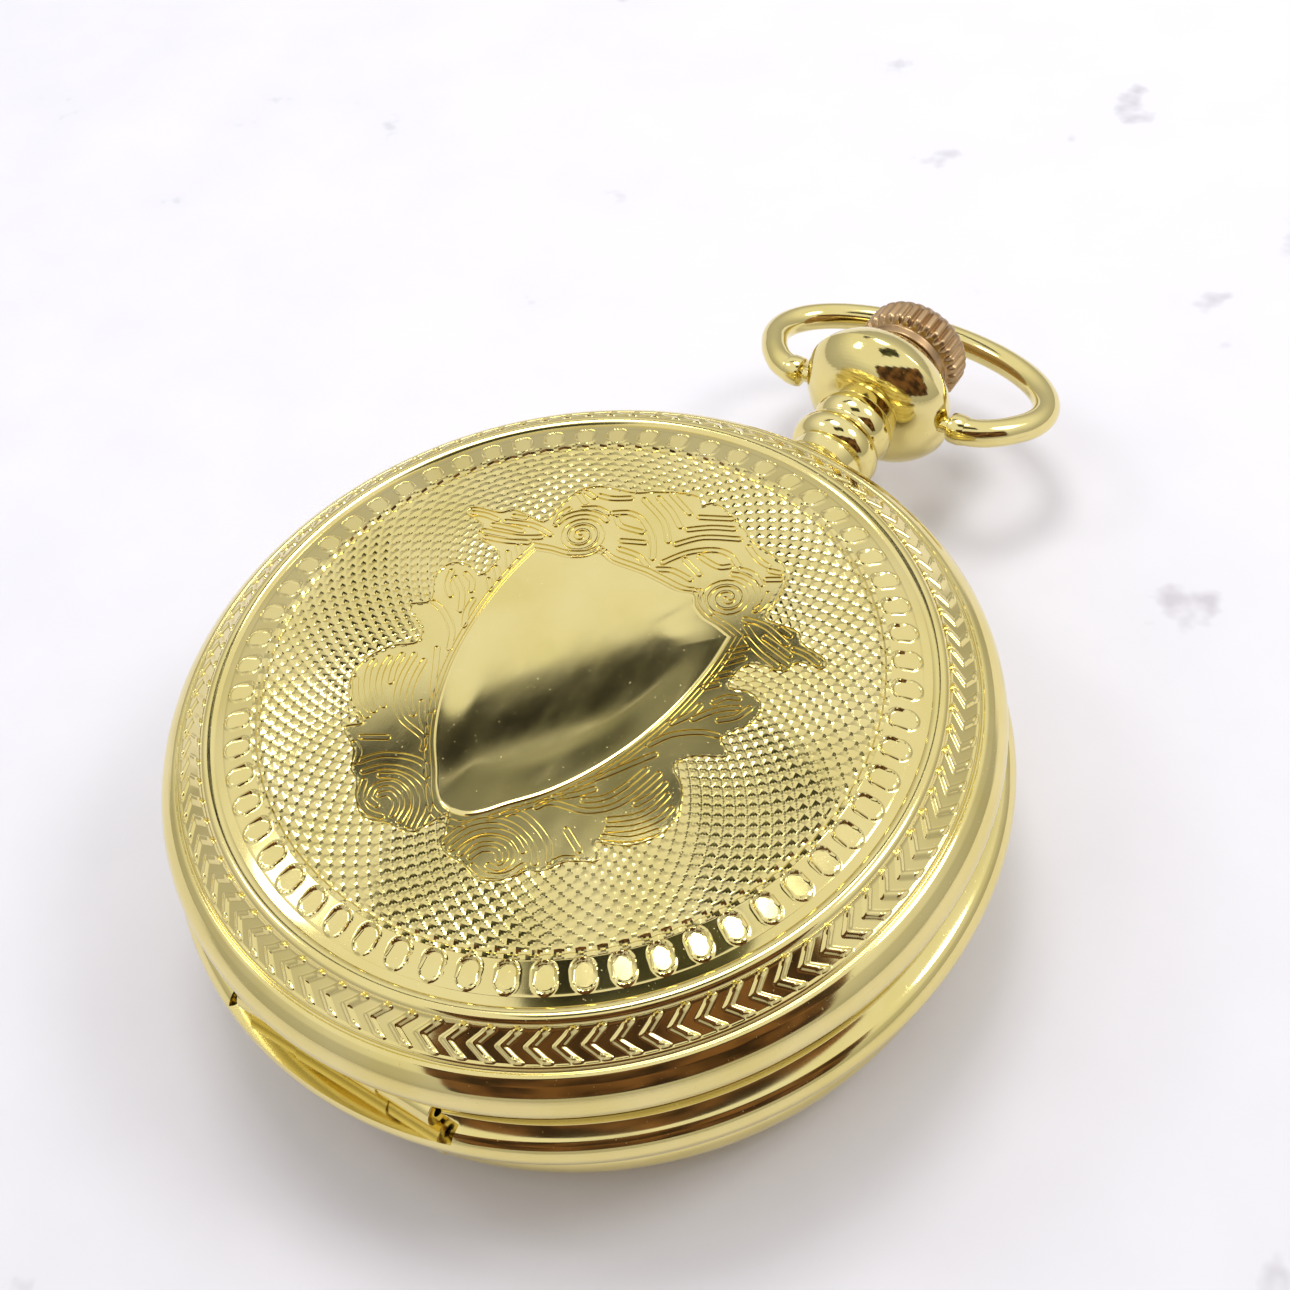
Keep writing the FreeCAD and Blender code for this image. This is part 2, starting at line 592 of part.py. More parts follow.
def hull_bar(start, end, start_r, end_r, low, high):
    """A flat bar between two round ends."""
    span = math.dist(start, end)
    across = math.degrees(math.acos((start_r - end_r) / span))
    way = bearing(start, end)
    first, second = FreeCAD.Vector(*start, 0), FreeCAD.Vector(*end, 0)
    edges = [
        Part.Arc(*(first + polar(start_r, way + turn) for turn in (across, 180, 360 - across))),
        Part.LineSegment(first + polar(start_r, way - across), second + polar(end_r, way - across)),
        Part.Arc(*(second + polar(end_r, way + turn) for turn in (-across, 0, across))),
        Part.LineSegment(second + polar(end_r, way + across), first + polar(start_r, way + across)),
    ]
    face = Part.Face(Part.Wire([edge.toShape() for edge in edges]))
    face.translate(FreeCAD.Vector(0, 0, low))
    return face.extrude(FreeCAD.Vector(0, 0, high - low))


def block(x_low, x_high, y_low, y_high, low, high):
    return Part.makeBox(x_high - x_low, y_high - y_low, high - low, FreeCAD.Vector(x_low, y_low, low))


def jewel_holes(places, low, high, radius=JEWEL_R):
    return [disc(radius, low, high, *place) for place in places]


def screw_holes(angles, low, high, radius=SCREW_R, circle=SCREW_CIRCLE):
    return [disc(radius, low, high, polar(circle, angle).x, polar(circle, angle).y) for angle in angles]


def main_plate():
    """The plate with its flange, its rim wall on the train side and its milled recesses."""
    radius = size("plate_r")
    plate = disc(radius, PLATE_Z, DIAL_Z).fuse(disc(radius + 0.7, 11.25, DIAL_Z))
    plate = plate.fuse(disc(radius, BRIDGE_Z, PLATE_Z + 0.1).cut(disc(size("wall_in_r"), 6, PLATE_Z + 0.1)))
    tools = [
        block(-2.3, 2.3, 8.6, 12.45, 6, 10.25),
        block(-3.1, 3.1, 12.45, 14.9, 6, 11.1),
        block(-1.35, 1.35, 14.8, 21, 6, 9.6),
        block(-0.8, 4.4, 14.8, 18.0, 8.9, 10.25),
        disc(0.45 + FIT, 10, 11.2, *LEVER),
        disc(4.4, RECESS_Z, 13, *MINUTE_WHEEL),
        disc(2.1, RECESS_Z, 13, *SETTING_WHEEL),
        disc(4.5, 11.2, 13, *CENTRE),
        disc(1.7, RECESS_Z, 13, *CENTRE),
        disc(1.0 + FIT, 8, 13, *CENTRE),
        disc(0.8 + FIT, 8, 13, *BARREL),
        sector(19.45, 22, LOCK_START - 10, LOCK_END + 2, SPRING_LOW - 0.1, SPRING_HIGH + 0.1),
        sector(19.45, 22, LOCK_START - 10, LOCK_START + 3, SPRING_LOW - 0.1, 13),
        sector(19.8, 22, LIFT_START - 2, LIFT_END + 2, SPRING_LOW - 0.1, SPRING_HIGH + 0.1),
        sector(19.8, 22, LIFT_END - 5, LIFT_END + 2, SPRING_LOW - 0.1, 13),
    ]
    tools += jewel_holes(JEWELLED, 8, 13)
    tools += screw_holes(BRIDGE_SCREWS + CASE_SCREWS, 5, 9.0)
    tools += [
        disc(0.4, 8, 13, *PALLET_FOOT),
        disc(1.5, 6, PLATE_Z, *PALLET_FOOT),
        disc(5.6, 6, PLATE_Z, *BALANCE),
    ]
    plate = plate.cut(tools)
    minute_post = disc(0.4, RECESS_Z, 11.7, *MINUTE_WHEEL)
    setting_post = disc(0.4, RECESS_Z, 11.3, *SETTING_WHEEL)
    return plate.fuse([minute_post, setting_post]).removeSplitter()


def bridge(corners, low, high, bore_places, screws, tools=()):
    """A bridge cut from the movement's disc by straight edges."""
    area = prism([FreeCAD.Vector(x, y, 0) for x, y in corners], low, high)
    shape = disc(19.75, low, high).common(area)
    holes = jewel_holes(bore_places, low - 1, high + 1) + screw_holes(screws, low - 1, high + 1)
    holes += screw_holes(CASE_SCREWS, low - 1, high + 1, 1.5)
    return shape.cut(holes + list(tools))


finished("main_plate", coded(main_plate(), "MainPlate"))

crown_recess = disc(5.0, 3, 6.1, *CROWN_WHEEL).fuse(block(-3.2, 3.2, 11.9, 15, 3, 7))
crown_recess = crown_recess.cut(disc(1.4, 3, 6.1, *CROWN_WHEEL)).fuse(block(-1.2, 1.2, 9.1, 12, 6.15, 7))
finished("barrel_bridge", coded(bridge(
    [(-20, 20), (-20, -9), (-7.5, -7.6), (-1.5, -4.2), (2.4, -3.0), (2.4, 3.2), (5.2, 5.4), (5.2, 20)],
    BRIDGE_OUT, BRIDGE_Z, [], BRIDGE_SCREWS[:3],
    [
        crown_recess, disc(0.65 + FIT, 3, 8, *CENTRE), disc(0.4, 3, 8, *CLICK),
        disc(0.8 + FIT, 3, 8, *BARREL), disc(0.3, 3, 7, *CROWN_WHEEL),
    ],
).removeSplitter(), "BarrelBridge"))
finished("train_bridge", coded(bridge(
    [
        (5.5, 20), (5.5, 5.2), (2.7, 3.1), (2.7, -6.6), (5.9, -6.8), (7.7, -4.7), (12.5, -3.6), (20, -4.6),
        (20, 20),
    ],
    BRIDGE_OUT, BRIDGE_Z, [THIRD, FOURTH, ESCAPE], BRIDGE_SCREWS[3:6],
).removeSplitter(), "TrainBridge"))

pallet_bar = hull_bar(PALLET, PALLET_FOOT, 1.15, 1.35, 7.1, 7.6)
pallet_bar = pallet_bar.fuse(disc(1.35, 7.1, PLATE_Z, *PALLET_FOOT)).cut(
    [disc(0.55, 6, 8, *PALLET), disc(0.4, 6, 10, *PALLET_FOOT)])
finished("pallet_bridge", coded(pallet_bar.removeSplitter(), "PalletBridge"))

cock_foot = (polar(17.9, -51.5).x, polar(17.9, -51.5).y)
cock = hull_bar(BALANCE, cock_foot, 2.2, 3.0, BRIDGE_OUT, 6.2)
cock = cock.fuse(disc(3.0, BRIDGE_OUT, BRIDGE_Z, *cock_foot))
cock = cock.common(disc(19.75, 0, 16)).cut(
    screw_holes(BRIDGE_SCREWS[6:], 3, 8) + jewel_holes([BALANCE], 3, 8) + [disc(5.4, 6.2, 7, *BALANCE)])
finished("balance_cock", coded(cock.removeSplitter(), "BalanceCock"))


def jewel(place, low, bore):
    ring = disc(0.55 if place == PALLET and low < 8 else JEWEL_R, low, low + JEWEL_HIGH, *place)
    return ring.cut(disc(bore, low - 1, low + 2, *place))


jewels = [jewel(place, PLATE_Z + 0.1, PIVOT_R + FIT) for place in JEWELLED if place != FOURTH]
jewels.append(jewel(FOURTH, PLATE_Z + 0.1, ARBOR_R + FIT))
jewels += [jewel(place, BRIDGE_Z - JEWEL_HIGH - 0.1, PIVOT_R + FIT) for place in (THIRD, FOURTH, ESCAPE)]
jewels.append(jewel(PALLET, 7.15, PIVOT_R + FIT))
jewels.append(jewel(BALANCE, 5.7, PIVOT_R + FIT))
finished("jewels", coded(Part.makeCompound(jewels), "Jewels"))


def screw(x, y, head_low, head_high, shank_high, head_r=HEAD_R, shank_r=SCREW_R):
    """A slotted screw driven in from the back."""
    body = disc(head_r, head_low, head_high, x, y).fuse(disc(shank_r, head_high, shank_high, x, y))
    slot = block(x - 0.1, x + 0.1, y - head_r, y + head_r, head_low - 1, head_low + 0.18)
    return body.cut(slot).removeSplitter()


bridge_screws = [
    screw(*polar(SCREW_CIRCLE, angle)[:2], BRIDGE_OUT - 0.45, BRIDGE_OUT, 8.8, 0.6) for angle in BRIDGE_SCREWS
]
bridge_screws.append(screw(*PALLET_FOOT, 6.75, 7.1, 10.5, 0.7))
bridge_screws.append(screw(*CLICK, 3.85, 4.25, 6.2, 0.75))
finished("bridge_screws", coded(Part.makeCompound(bridge_screws), "BridgeScrews"))
finished("case_screws", coded(Part.makeCompound([
    screw(polar(SCREW_CIRCLE, angle).x, polar(SCREW_CIRCLE, angle).y, 5.75, BRIDGE_Z, 8.8, 1.3)
    for angle in CASE_SCREWS
]), "CaseScrews"))

# ---- winding and setting ----

AXIS_Z = size("axis_z")
STEM_R = size("stem_r")


def along_stem(shape, y):
    """Turns a shape made about z so that it lies along +Y from y, on the stem's axis."""
    shape.Placement = FreeCAD.Placement(FreeCAD.Vector(0, y, AXIS_Z), AXIS_TURNS["y"])
    return shape


def contrate_teeth(teeth, inner, outer, low, high, share=0.36, rotation=0):
    """Radial ribs standing on a gear's face."""
    pitch = 360 / teeth
    ribs = []
    for tooth in range(teeth):
        angle = rotation + tooth * pitch
        half = math.radians(pitch * share / 2) * (inner + outer) / 2
        rib = block(inner, outer, -half, half, low, high)
        rib.rotate(ORIGIN, Z_AXIS, angle)
        ribs.append(rib)
    return ribs


WINDING_TEETH, WINDING_R = 12, 2.4
CROWN_TEETH, RATCHET_TEETH = 20, 29
CROWN_PITCH_R = math.dist(CROWN_WHEEL, BARREL) * CROWN_TEETH / (CROWN_TEETH + RATCHET_TEETH)
RATCHET_R = CROWN_PITCH_R * RATCHET_TEETH / CROWN_TEETH

pinion = prism(tooth_ring(WINDING_TEETH, WINDING_R, 0, 0.65, 1.0, 0.5, 0.22), 0, 1.7)
pinion = pinion.cut(disc(STEM_R + FIT, -1, 3))
finished("winding_pinion", coded(along_stem(pinion, 12.7), "WindingPinion"))

stem = disc(0.45, 0, 1.2)
stem = stem.fuse([
    block(-0.55, 0.55, -0.55, 0.55, 1.1, 4.05), disc(STEM_R, 4.05, 6.2), disc(1.0, 6.2, 6.7),
    disc(0.6, 6.7, 7.3), disc(1.0, 7.3, 10.6),
])
stem = stem.cut(block(-0.53, 0.53, -0.53, 0.53, 7.6, 11))
finished("winding_stem", coded(along_stem(stem.removeSplitter(), 8.65), "WindingStem"))

clutch = disc(1.9, 0, 2.5).cut([
    block(-0.6, 0.6, -0.6, 0.6, -1, 3),
    disc(2.5, 1.0, 1.5).cut(disc(1.4, 0, 3)),
])
clutch = clutch.fuse(contrate_teeth(10, 0.9, 1.85, -0.3, 0)).removeSplitter()
finished("sliding_clutch", coded(along_stem(clutch, 10.1), "SlidingClutch"))

lever = hull_bar(LEVER, (0.9, 15.6), 1.0, 0.3, 9.75, 10.15)
lever = lever.fuse([disc(0.45, 9.75, 11.1, *LEVER), disc(0.27, 9.0, 9.8, 0.15, 15.65)])
lever = lever.fuse(hull_bar((0.9, 15.6), (0.15, 15.65), 0.3, 0.27, 9.75, 10.15))
finished("setting_lever", coded(lever.removeSplitter(), "SettingLever"))

crown_ribs = contrate_teeth(CROWN_TEETH, 3.45, 4.25, 4.85, 5.9, 0.32, 90 + 180 / CROWN_TEETH)
crown_wheel = prism(tooth_ring(CROWN_TEETH, CROWN_PITCH_R, 0), 4.3, 4.85)
crown_wheel = crown_wheel.fuse([disc(3.9, 4.85, 5.2)] + crown_ribs)
crown_wheel = crown_wheel.cut(disc(1.4 + FIT, 4, 6))
finished("crown_wheel", coded(at(crown_wheel.removeSplitter(), CROWN_WHEEL), "CrownWheel"))
crown_screw = disc(2.0, 3.85, 4.25).fuse([disc(1.4, 4.25, BRIDGE_OUT), disc(0.3, BRIDGE_OUT, 6.3)])
crown_screw = crown_screw.cut(block(-0.15, 0.15, -2.5, 2.5, 3.5, 4.05))
finished("crown_wheel_screw", coded(at(crown_screw.removeSplitter(), CROWN_WHEEL), "CrownScrew"))

ratchet_turn = mate(0, CROWN_TEETH, bearing(CROWN_WHEEL, BARREL), RATCHET_TEETH)
ratchet = prism(tooth_ring(RATCHET_TEETH, RATCHET_R, ratchet_turn), 4.3, 4.85)
ratchet = ratchet.cut(block(-0.55, 0.55, -0.55, 0.55, 4, 5))
finished("ratchet_wheel", coded(at(ratchet, BARREL), "RatchetWheel"))
ratchet_screw = disc(1.5, 3.85, 4.3).fuse(disc(0.4, 4.3, 5.6)).cut(block(-0.15, 0.15, -2, 2, 3.5, 4.05))
finished("ratchet_screw", coded(at(ratchet_screw.removeSplitter(), BARREL), "RatchetScrew"))

click = hull_bar(CLICK, CLICK_TIP, 1.0, 0.22, 4.3, 4.85).cut(disc(0.4 + FIT, 4, 5, *CLICK))
finished("click", coded(click.removeSplitter(), "Click"))
spring_foot = hull_bar(polar(1.475, 150)[:2], (-2.4, 2.6), 0.2, 0.45, 4.35, 4.85)
click_spring = sector(1.35, 1.6, 150, 300, 4.35, 4.85).fuse(spring_foot)
click_spring.rotate(ORIGIN, Z_AXIS, 20)
finished("click_spring", coded(at(click_spring.removeSplitter(), CLICK), "ClickSpring"))

# ---- barrel ----

BARREL_TEETH, BARREL_R = 78, 7.8
drum = prism(tooth_ring(BARREL_TEETH, BARREL_R, 0), 8.35, 8.85).fuse(disc(7.4, 6.95, 8.4))
drum = drum.cut([disc(7.0, 6, 8.35), disc(0.8 + FIT, 6, 9)])
finished("barrel_drum", coded(at(drum.removeSplitter(), BARREL), "BarrelDrum"))
finished("barrel_lid", coded(at(disc(7.0, 6.95, 7.15).cut(disc(0.8 + FIT, 6, 9)), BARREL), "BarrelLid"))
arbor = disc(0.8, BRIDGE_OUT, 10.2).fuse([block(-0.55, 0.55, -0.55, 0.55, 4.3, 5), disc(1.8, 7.2, 8.3)])
arbor = arbor.cut(disc(0.4, 4, 5.6))
finished("barrel_arbor", coded(at(arbor.removeSplitter(), BARREL), "BarrelArbor"))


def spiral_strip(inner, outer, turns, wide, low, high, steps=24):
    """A flat coil: straight steps along an even spiral."""
    count = int(turns * steps)
    ways = [index * 360 / steps for index in range(count + 1)]
    radii = [inner + (outer - inner) * index / count for index in range(count + 1)]
    points = [polar(radius + wide / 2, way) for radius, way in zip(radii, ways)]
    points += [polar(radius - wide / 2, way) for radius, way in reversed(list(zip(radii, ways)))]
    return prism(points, low, high)


finished("mainspring", coded(at(spiral_strip(2.1, 6.8, 9, 0.22, 7.25, 8.25), BARREL), "Mainspring"))

# ---- going train ----

CENTRE_TEETH, CENTRE_R, CENTRE_LEAVES, CENTRE_LEAF_R = 80, 6.4, 12, 1.2
THIRD_TEETH, THIRD_R, THIRD_LEAVES, THIRD_LEAF_R = 75, 5.25, 10, 0.8
FOURTH_TEETH, FOURTH_R, FOURTH_LEAVES, FOURTH_LEAF_R = 80, 4.4, 10, 0.7
ESCAPE_TEETH, ESCAPE_R, ESCAPE_LEAVES, ESCAPE_LEAF_R = 15, 2.95, 8, 0.44


def train_wheel(label, place, teeth, pitch_r, low, high, bore, hub_r=1.3):
    """A spoked brass wheel."""
    toothed = prism(tooth_ring(teeth, pitch_r, 0), low, high)
    blank = spoked(toothed, hub_r, pitch_r * 0.86, 5, low, high, 0.6)
    return finished(label, coded(at(blank.cut(disc(bore, low - 1, high + 1)), place), "TrainWheel"))


def train_pinion(label, place, leaves, leaf_r, rotation, leaf_low, leaf_high, shafts):
    """A steel pinion with its arbor and pivots; shafts are (radius, low, high)."""
    shape = prism(tooth_ring(leaves, leaf_r, rotation, 0.7, 1.0), leaf_low, leaf_high)
    shape = shape.fuse([disc(*shaft) for shaft in shafts])
    return finished(label, coded(at(shape.removeSplitter(), place), "TrainPinion"))


train_wheel("centre_wheel", CENTRE, CENTRE_TEETH, CENTRE_R, 6.55, 6.75, 0.65, 1.8)
train_pinion(
    "centre_pinion", CENTRE, CENTRE_LEAVES, CENTRE_LEAF_R,
    mate(0, BARREL_TEETH, bearing(BARREL, CENTRE), CENTRE_LEAVES), 8.2, 8.95,
    [(0.65, 4.9, 8.3), (1.0, 8.9, 10.55), (0.5, 10.5, 13.45)],
)
train_wheel("third_wheel", THIRD, THIRD_TEETH, THIRD_R, 7.9, 8.1, ARBOR_R)
train_pinion(
    "third_pinion", THIRD, THIRD_LEAVES, THIRD_LEAF_R,
    mate(0, CENTRE_TEETH, bearing(CENTRE, THIRD), THIRD_LEAVES), 6.5, 7.0,
    [(PIVOT_R, 5.92, PLATE_Z + 0.5), (ARBOR_R, 6.5, PLATE_Z)],
)
train_wheel("fourth_wheel", FOURTH, FOURTH_TEETH, FOURTH_R, 7.2, 7.4, ARBOR_R)
train_pinion(
    "fourth_pinion", FOURTH, FOURTH_LEAVES, FOURTH_LEAF_R,
    mate(0, THIRD_TEETH, bearing(THIRD, FOURTH), FOURTH_LEAVES), 7.75, 8.25,
    [(PIVOT_R, 5.92, 7), (ARBOR_R, 6.5, 12.7)],
)


def escape_wheel():
    """Fifteen raked club teeth on a four-spoked rim."""
    points = []
    for tooth in range(ESCAPE_TEETH):
        for radius, turn in ((2.35, 0), (ESCAPE_R, 6.0), (ESCAPE_R, 8.5), (2.35, 8.0)):
            points.append(polar(radius, tooth * 360 / ESCAPE_TEETH + turn))
    blank = spoked(prism(points, 8.2, 8.4), 0.8, 1.95, 4, 8.2, 8.4, 0.4)
    return blank.cut(disc(0.25, 8, 9))


finished("escape_wheel", coded(at(escape_wheel(), ESCAPE), "EscapeWheel"))
train_pinion(
    "escape_pinion", ESCAPE, ESCAPE_LEAVES, ESCAPE_LEAF_R,
    mate(0, FOURTH_TEETH, bearing(FOURTH, ESCAPE), ESCAPE_LEAVES), 7.05, 7.6,
    [(PIVOT_R, 5.92, PLATE_Z + 0.5), (0.25, 6.5, PLATE_Z)],
)

# ---- escapement ----

TO_ESCAPE, TO_BALANCE = bearing(PALLET, ESCAPE), bearing(PALLET, BALANCE)
FORK_LOW, FORK_HIGH = 8.12, 8.4
FORK_LENGTH = 4.35


def pallet_fork():
    """The anchor: two arms that hold the stones, and a lever with a notch for the impulse pin."""
    notch_end = polar(FORK_LENGTH, TO_BALANCE)
    arm_ends = [polar(1.75, TO_ESCAPE + side * 62) for side in (1, -1)]
    shape = hull_bar((0, 0), notch_end[:2], 0.5, 0.42, FORK_LOW, FORK_HIGH)
    shape = shape.fuse([hull_bar((0, 0), end[:2], 0.5, 0.3, FORK_LOW, FORK_HIGH) for end in arm_ends])
    notch = block(FORK_LENGTH - 0.1, FORK_LENGTH + 1, -0.16, 0.16, 8, 9)
    notch.rotate(ORIGIN, Z_AXIS, TO_BALANCE)
    staff = disc(0.25, 7.65, PLATE_Z).fuse(disc(PIVOT_R, 7.17, PLATE_Z + 0.5))
    return shape.cut(notch).fuse(staff).removeSplitter()


def pallet_stones():
    """Two ruby stones set in the arms' ends."""
    stones = []
    for side in (1, -1):
        stone = block(1.62, 2.35, -0.15, 0.15, FORK_HIGH, FORK_HIGH + 0.15)
        stone.rotate(ORIGIN, Z_AXIS, TO_ESCAPE + side * 62)
        stones.append(stone)
    return at(Part.makeCompound(stones), PALLET)


finished("pallet_fork", coded(at(pallet_fork(), PALLET), "PalletFork"))
finished("pallet_stones", coded(pallet_stones(), "PalletStones"))

rim = disc(5.0, 6.5, 7.0).cut(disc(4.5, 6, 8))
rim = rim.fuse([block(-4.7, 4.7, -0.4, 0.4, 6.6, 6.85), disc(0.9, 6.55, 6.95)]).cut(disc(ARBOR_R, 6, 8))
timing_screws = []
for index in range(14):
    if index % 7:
        pin = Part.makeCylinder(0.22, 0.3, FreeCAD.Vector(4.95, 0, 6.75), X_AXIS)
        pin.rotate(ORIGIN, Z_AXIS, index * 360 / 14)
        timing_screws.append(pin)
rim = rim.fuse(timing_screws).removeSplitter()
rim.rotate(ORIGIN, Z_AXIS, 35)
finished("balance_wheel", coded(at(rim, BALANCE), "BalanceWheel"))
pin_spot = polar(0.65, bearing(BALANCE, PALLET))
staff = disc(ARBOR_R, 6.15, PLATE_Z).fuse([
    disc(PIVOT_R, 5.72, PLATE_Z + 0.5), disc(0.9, 7.7, 7.9), disc(0.12, 7.85, 8.05, pin_spot.x, pin_spot.y),
])
finished("balance_staff", coded(at(staff.removeSplitter(), BALANCE), "BalanceStaff"))
hairspring = spiral_strip(0.75, 2.9, 9, 0.07, 6.26, 6.42)
finished("hairspring", coded(at(hairspring, BALANCE), "Hairspring"))
index_way = bearing(BALANCE, cock_foot)
index_tip = polar(4.2, index_way + 28)[:2]
regulator = disc(1.25, 4.62, BRIDGE_OUT).fuse(hull_bar((0, 0), index_tip, 0.5, 0.12, 4.62, BRIDGE_OUT))
regulator = regulator.cut(disc(JEWEL_R, 4, 5)).removeSplitter()
finished("regulator", coded(at(regulator, BALANCE), "Regulator"))

# ---- motion work ----

CANNON_LEAVES, CANNON_R = 12, 1.2
MINUTE_TEETH, MINUTE_R, MINUTE_LEAVES, MINUTE_LEAF_R = 36, 3.6, 10, 0.96
HOUR_TEETH, HOUR_R = 40, 3.84
SETTING_TEETH, SETTING_R = 14, 1.4

cannon = prism(tooth_ring(CANNON_LEAVES, CANNON_R, 0, 0.7), 10.65, 11.25).fuse(disc(0.85, 11.2, 13.35))
finished("cannon_pinion", coded(cannon.cut(disc(0.5, 10, 14)).removeSplitter(), "CannonPinion"))
minute_turn = mate(0, CANNON_LEAVES, bearing(CENTRE, MINUTE_WHEEL), MINUTE_TEETH)
minute_wheel = prism(tooth_ring(MINUTE_TEETH, MINUTE_R, minute_turn), 10.7, 10.95)
minute_wheel = minute_wheel.fuse(prism(tooth_ring(MINUTE_LEAVES, MINUTE_LEAF_R, 0, 0.7), 10.95, 11.7))
minute_wheel = minute_wheel.cut(disc(0.4 + FIT, 10, 12))
finished("minute_wheel", coded(at(minute_wheel.removeSplitter(), MINUTE_WHEEL), "MinuteWheel"))
hour_turn = mate(0, MINUTE_LEAVES, bearing(MINUTE_WHEEL, CENTRE), HOUR_TEETH)
hour_wheel = prism(tooth_ring(HOUR_TEETH, HOUR_R, hour_turn), 11.4, 11.65).fuse(disc(1.3, 11.6, 12.95))
finished("hour_wheel", coded(hour_wheel.cut(disc(0.85 + FIT, 11, 14)).removeSplitter(), "HourWheel"))
setting_turn = mate(minute_turn, MINUTE_TEETH, bearing(MINUTE_WHEEL, SETTING_WHEEL), SETTING_TEETH)
setting = prism(tooth_ring(SETTING_TEETH, SETTING_R, setting_turn), 10.7, 10.95)
setting = setting.cut(disc(0.4 + FIT, 10, 12))
finished("setting_wheel", coded(at(setting, SETTING_WHEEL), "SettingWheel"))

# ---- dial and hands: twelve o'clock is at -X, three o'clock at the pendant ----

TWELVE = 180
SHOWN_HOURS = 10.15

face_disc = cylinder("dial_r", "dial_thick", 0, 0, "dial_z")
seconds_sink = cylinder(3.7, 1, FOURTH[0], FOURTH[1], "dial_z + dial_thick - 0.12")
finished("dial", cut(
    face_disc, seconds_sink, cylinder(1.5, 2, 0, 0, 11), cylinder(0.45, 2, FOURTH[0], FOURTH[1], 11),
))


def hand(length, tail, low, high, hub_r, bore, eye_at, eye_r, way):
    """A hand with a hollow eye near its tip."""
    shape = hull_bar((-tail, 0), (length, 0), 0.32 * hub_r, 0.12, low, high)
    shape = shape.fuse([disc(hub_r, low, high), disc(eye_r, low, high, eye_at)])
    eye_hole = disc(eye_r * 0.62, low - 1, high + 1, eye_at + eye_r * 0.12)
    shape = shape.cut([disc(bore, low - 1, high + 1), eye_hole])
    shape.rotate(ORIGIN, Z_AXIS, way)
    return shape.removeSplitter()


finished("hour_hand", coded(
    hand(9.6, 1.6, 12.72, 12.87, 1.75, 1.3, 6.6, 0.95, TWELVE - 30 * SHOWN_HOURS), "HourHand"))
finished("minute_hand", coded(
    hand(14.8, 2.4, 13.12, 13.26, 1.35, 0.85, 11.2, 0.8, TWELVE - 360 * SHOWN_HOURS), "MinuteHand"))
finished("seconds_hand", coded(
    at(hand(3.3, 1.2, 12.5, 12.6, 0.55, ARBOR_R, 2.3, 0.28, TWELVE - 120), FOURTH), "SecondsHand"))

# ---- checks and export ----

doc.recompute()
failed = [item.Label for item in doc.Objects if "Invalid" in item.State or "Error" in item.State]
for item in SUBPARTS:
    if item.Shape.isNull() or not item.Shape.isValid() or not item.Shape.Solids:
        failed.append(item.Label)
if failed:
    raise SystemExit(f"not built: {failed}")
os.makedirs("parts", exist_ok=True)
for item in SUBPARTS:
    item.Shape.exportStep(f"parts/{item.Label}.step")
print(len(SUBPARTS), "sub-parts written")
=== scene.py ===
"""Pocket watch: the visible pieces and their materials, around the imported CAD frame."""

import json
import math

import bpy
import numpy as np
from mathutils import Matrix, Vector


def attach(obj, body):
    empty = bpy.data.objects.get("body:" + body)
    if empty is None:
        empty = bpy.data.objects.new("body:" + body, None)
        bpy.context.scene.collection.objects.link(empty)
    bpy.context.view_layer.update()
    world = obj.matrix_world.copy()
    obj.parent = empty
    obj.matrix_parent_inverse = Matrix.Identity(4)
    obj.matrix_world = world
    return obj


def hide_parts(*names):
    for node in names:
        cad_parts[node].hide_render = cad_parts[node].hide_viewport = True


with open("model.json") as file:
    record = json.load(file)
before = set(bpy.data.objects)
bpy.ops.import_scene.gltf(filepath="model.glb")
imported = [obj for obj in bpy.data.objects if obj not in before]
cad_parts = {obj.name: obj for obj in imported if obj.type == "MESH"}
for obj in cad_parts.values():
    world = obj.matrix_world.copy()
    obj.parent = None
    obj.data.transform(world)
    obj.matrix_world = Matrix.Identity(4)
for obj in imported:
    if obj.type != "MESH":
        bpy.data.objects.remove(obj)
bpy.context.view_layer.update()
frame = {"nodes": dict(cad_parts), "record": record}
NODES = frame["nodes"]

MM = 0.001
FULL_TURN = 2 * math.pi

# ---- sizes in millimetres, shared by the two covers and the case ----

THICK = 16.4
AXIS_Z = THICK / 2
DISC_R = 16.7
BACK_INSET = 0.8
HINGE_Y = 21.3
HINGE_Z = 9.9
KNUCKLE_R = 0.9
KNUCKLE_IN, KNUCKLE_OUT = 3.05, 6.3


# ---- mesh helpers ----

def smooth_step(low, high, value):
    share = np.clip((value - low) / (high - low), 0, 1)
    return share * share * (3 - 2 * share)


def new_piece(name, points, faces, material, sharp=40):
    """A mesh object from points in millimetres."""
    mesh = bpy.data.meshes.new(name)
    mesh.from_pydata((np.asarray(points, dtype=float) * MM).tolist(), [], faces)
    mesh.validate()
    mesh.update()
    piece = bpy.data.objects.new(name, mesh)
    bpy.context.scene.collection.objects.link(piece)
    mesh.materials.append(material)
    shade(piece, sharp)
    return piece


def shade(piece, sharp=40):
    mesh = piece.data
    mesh.shade_smooth()
    mesh.set_sharp_from_angle(angle=math.radians(sharp))


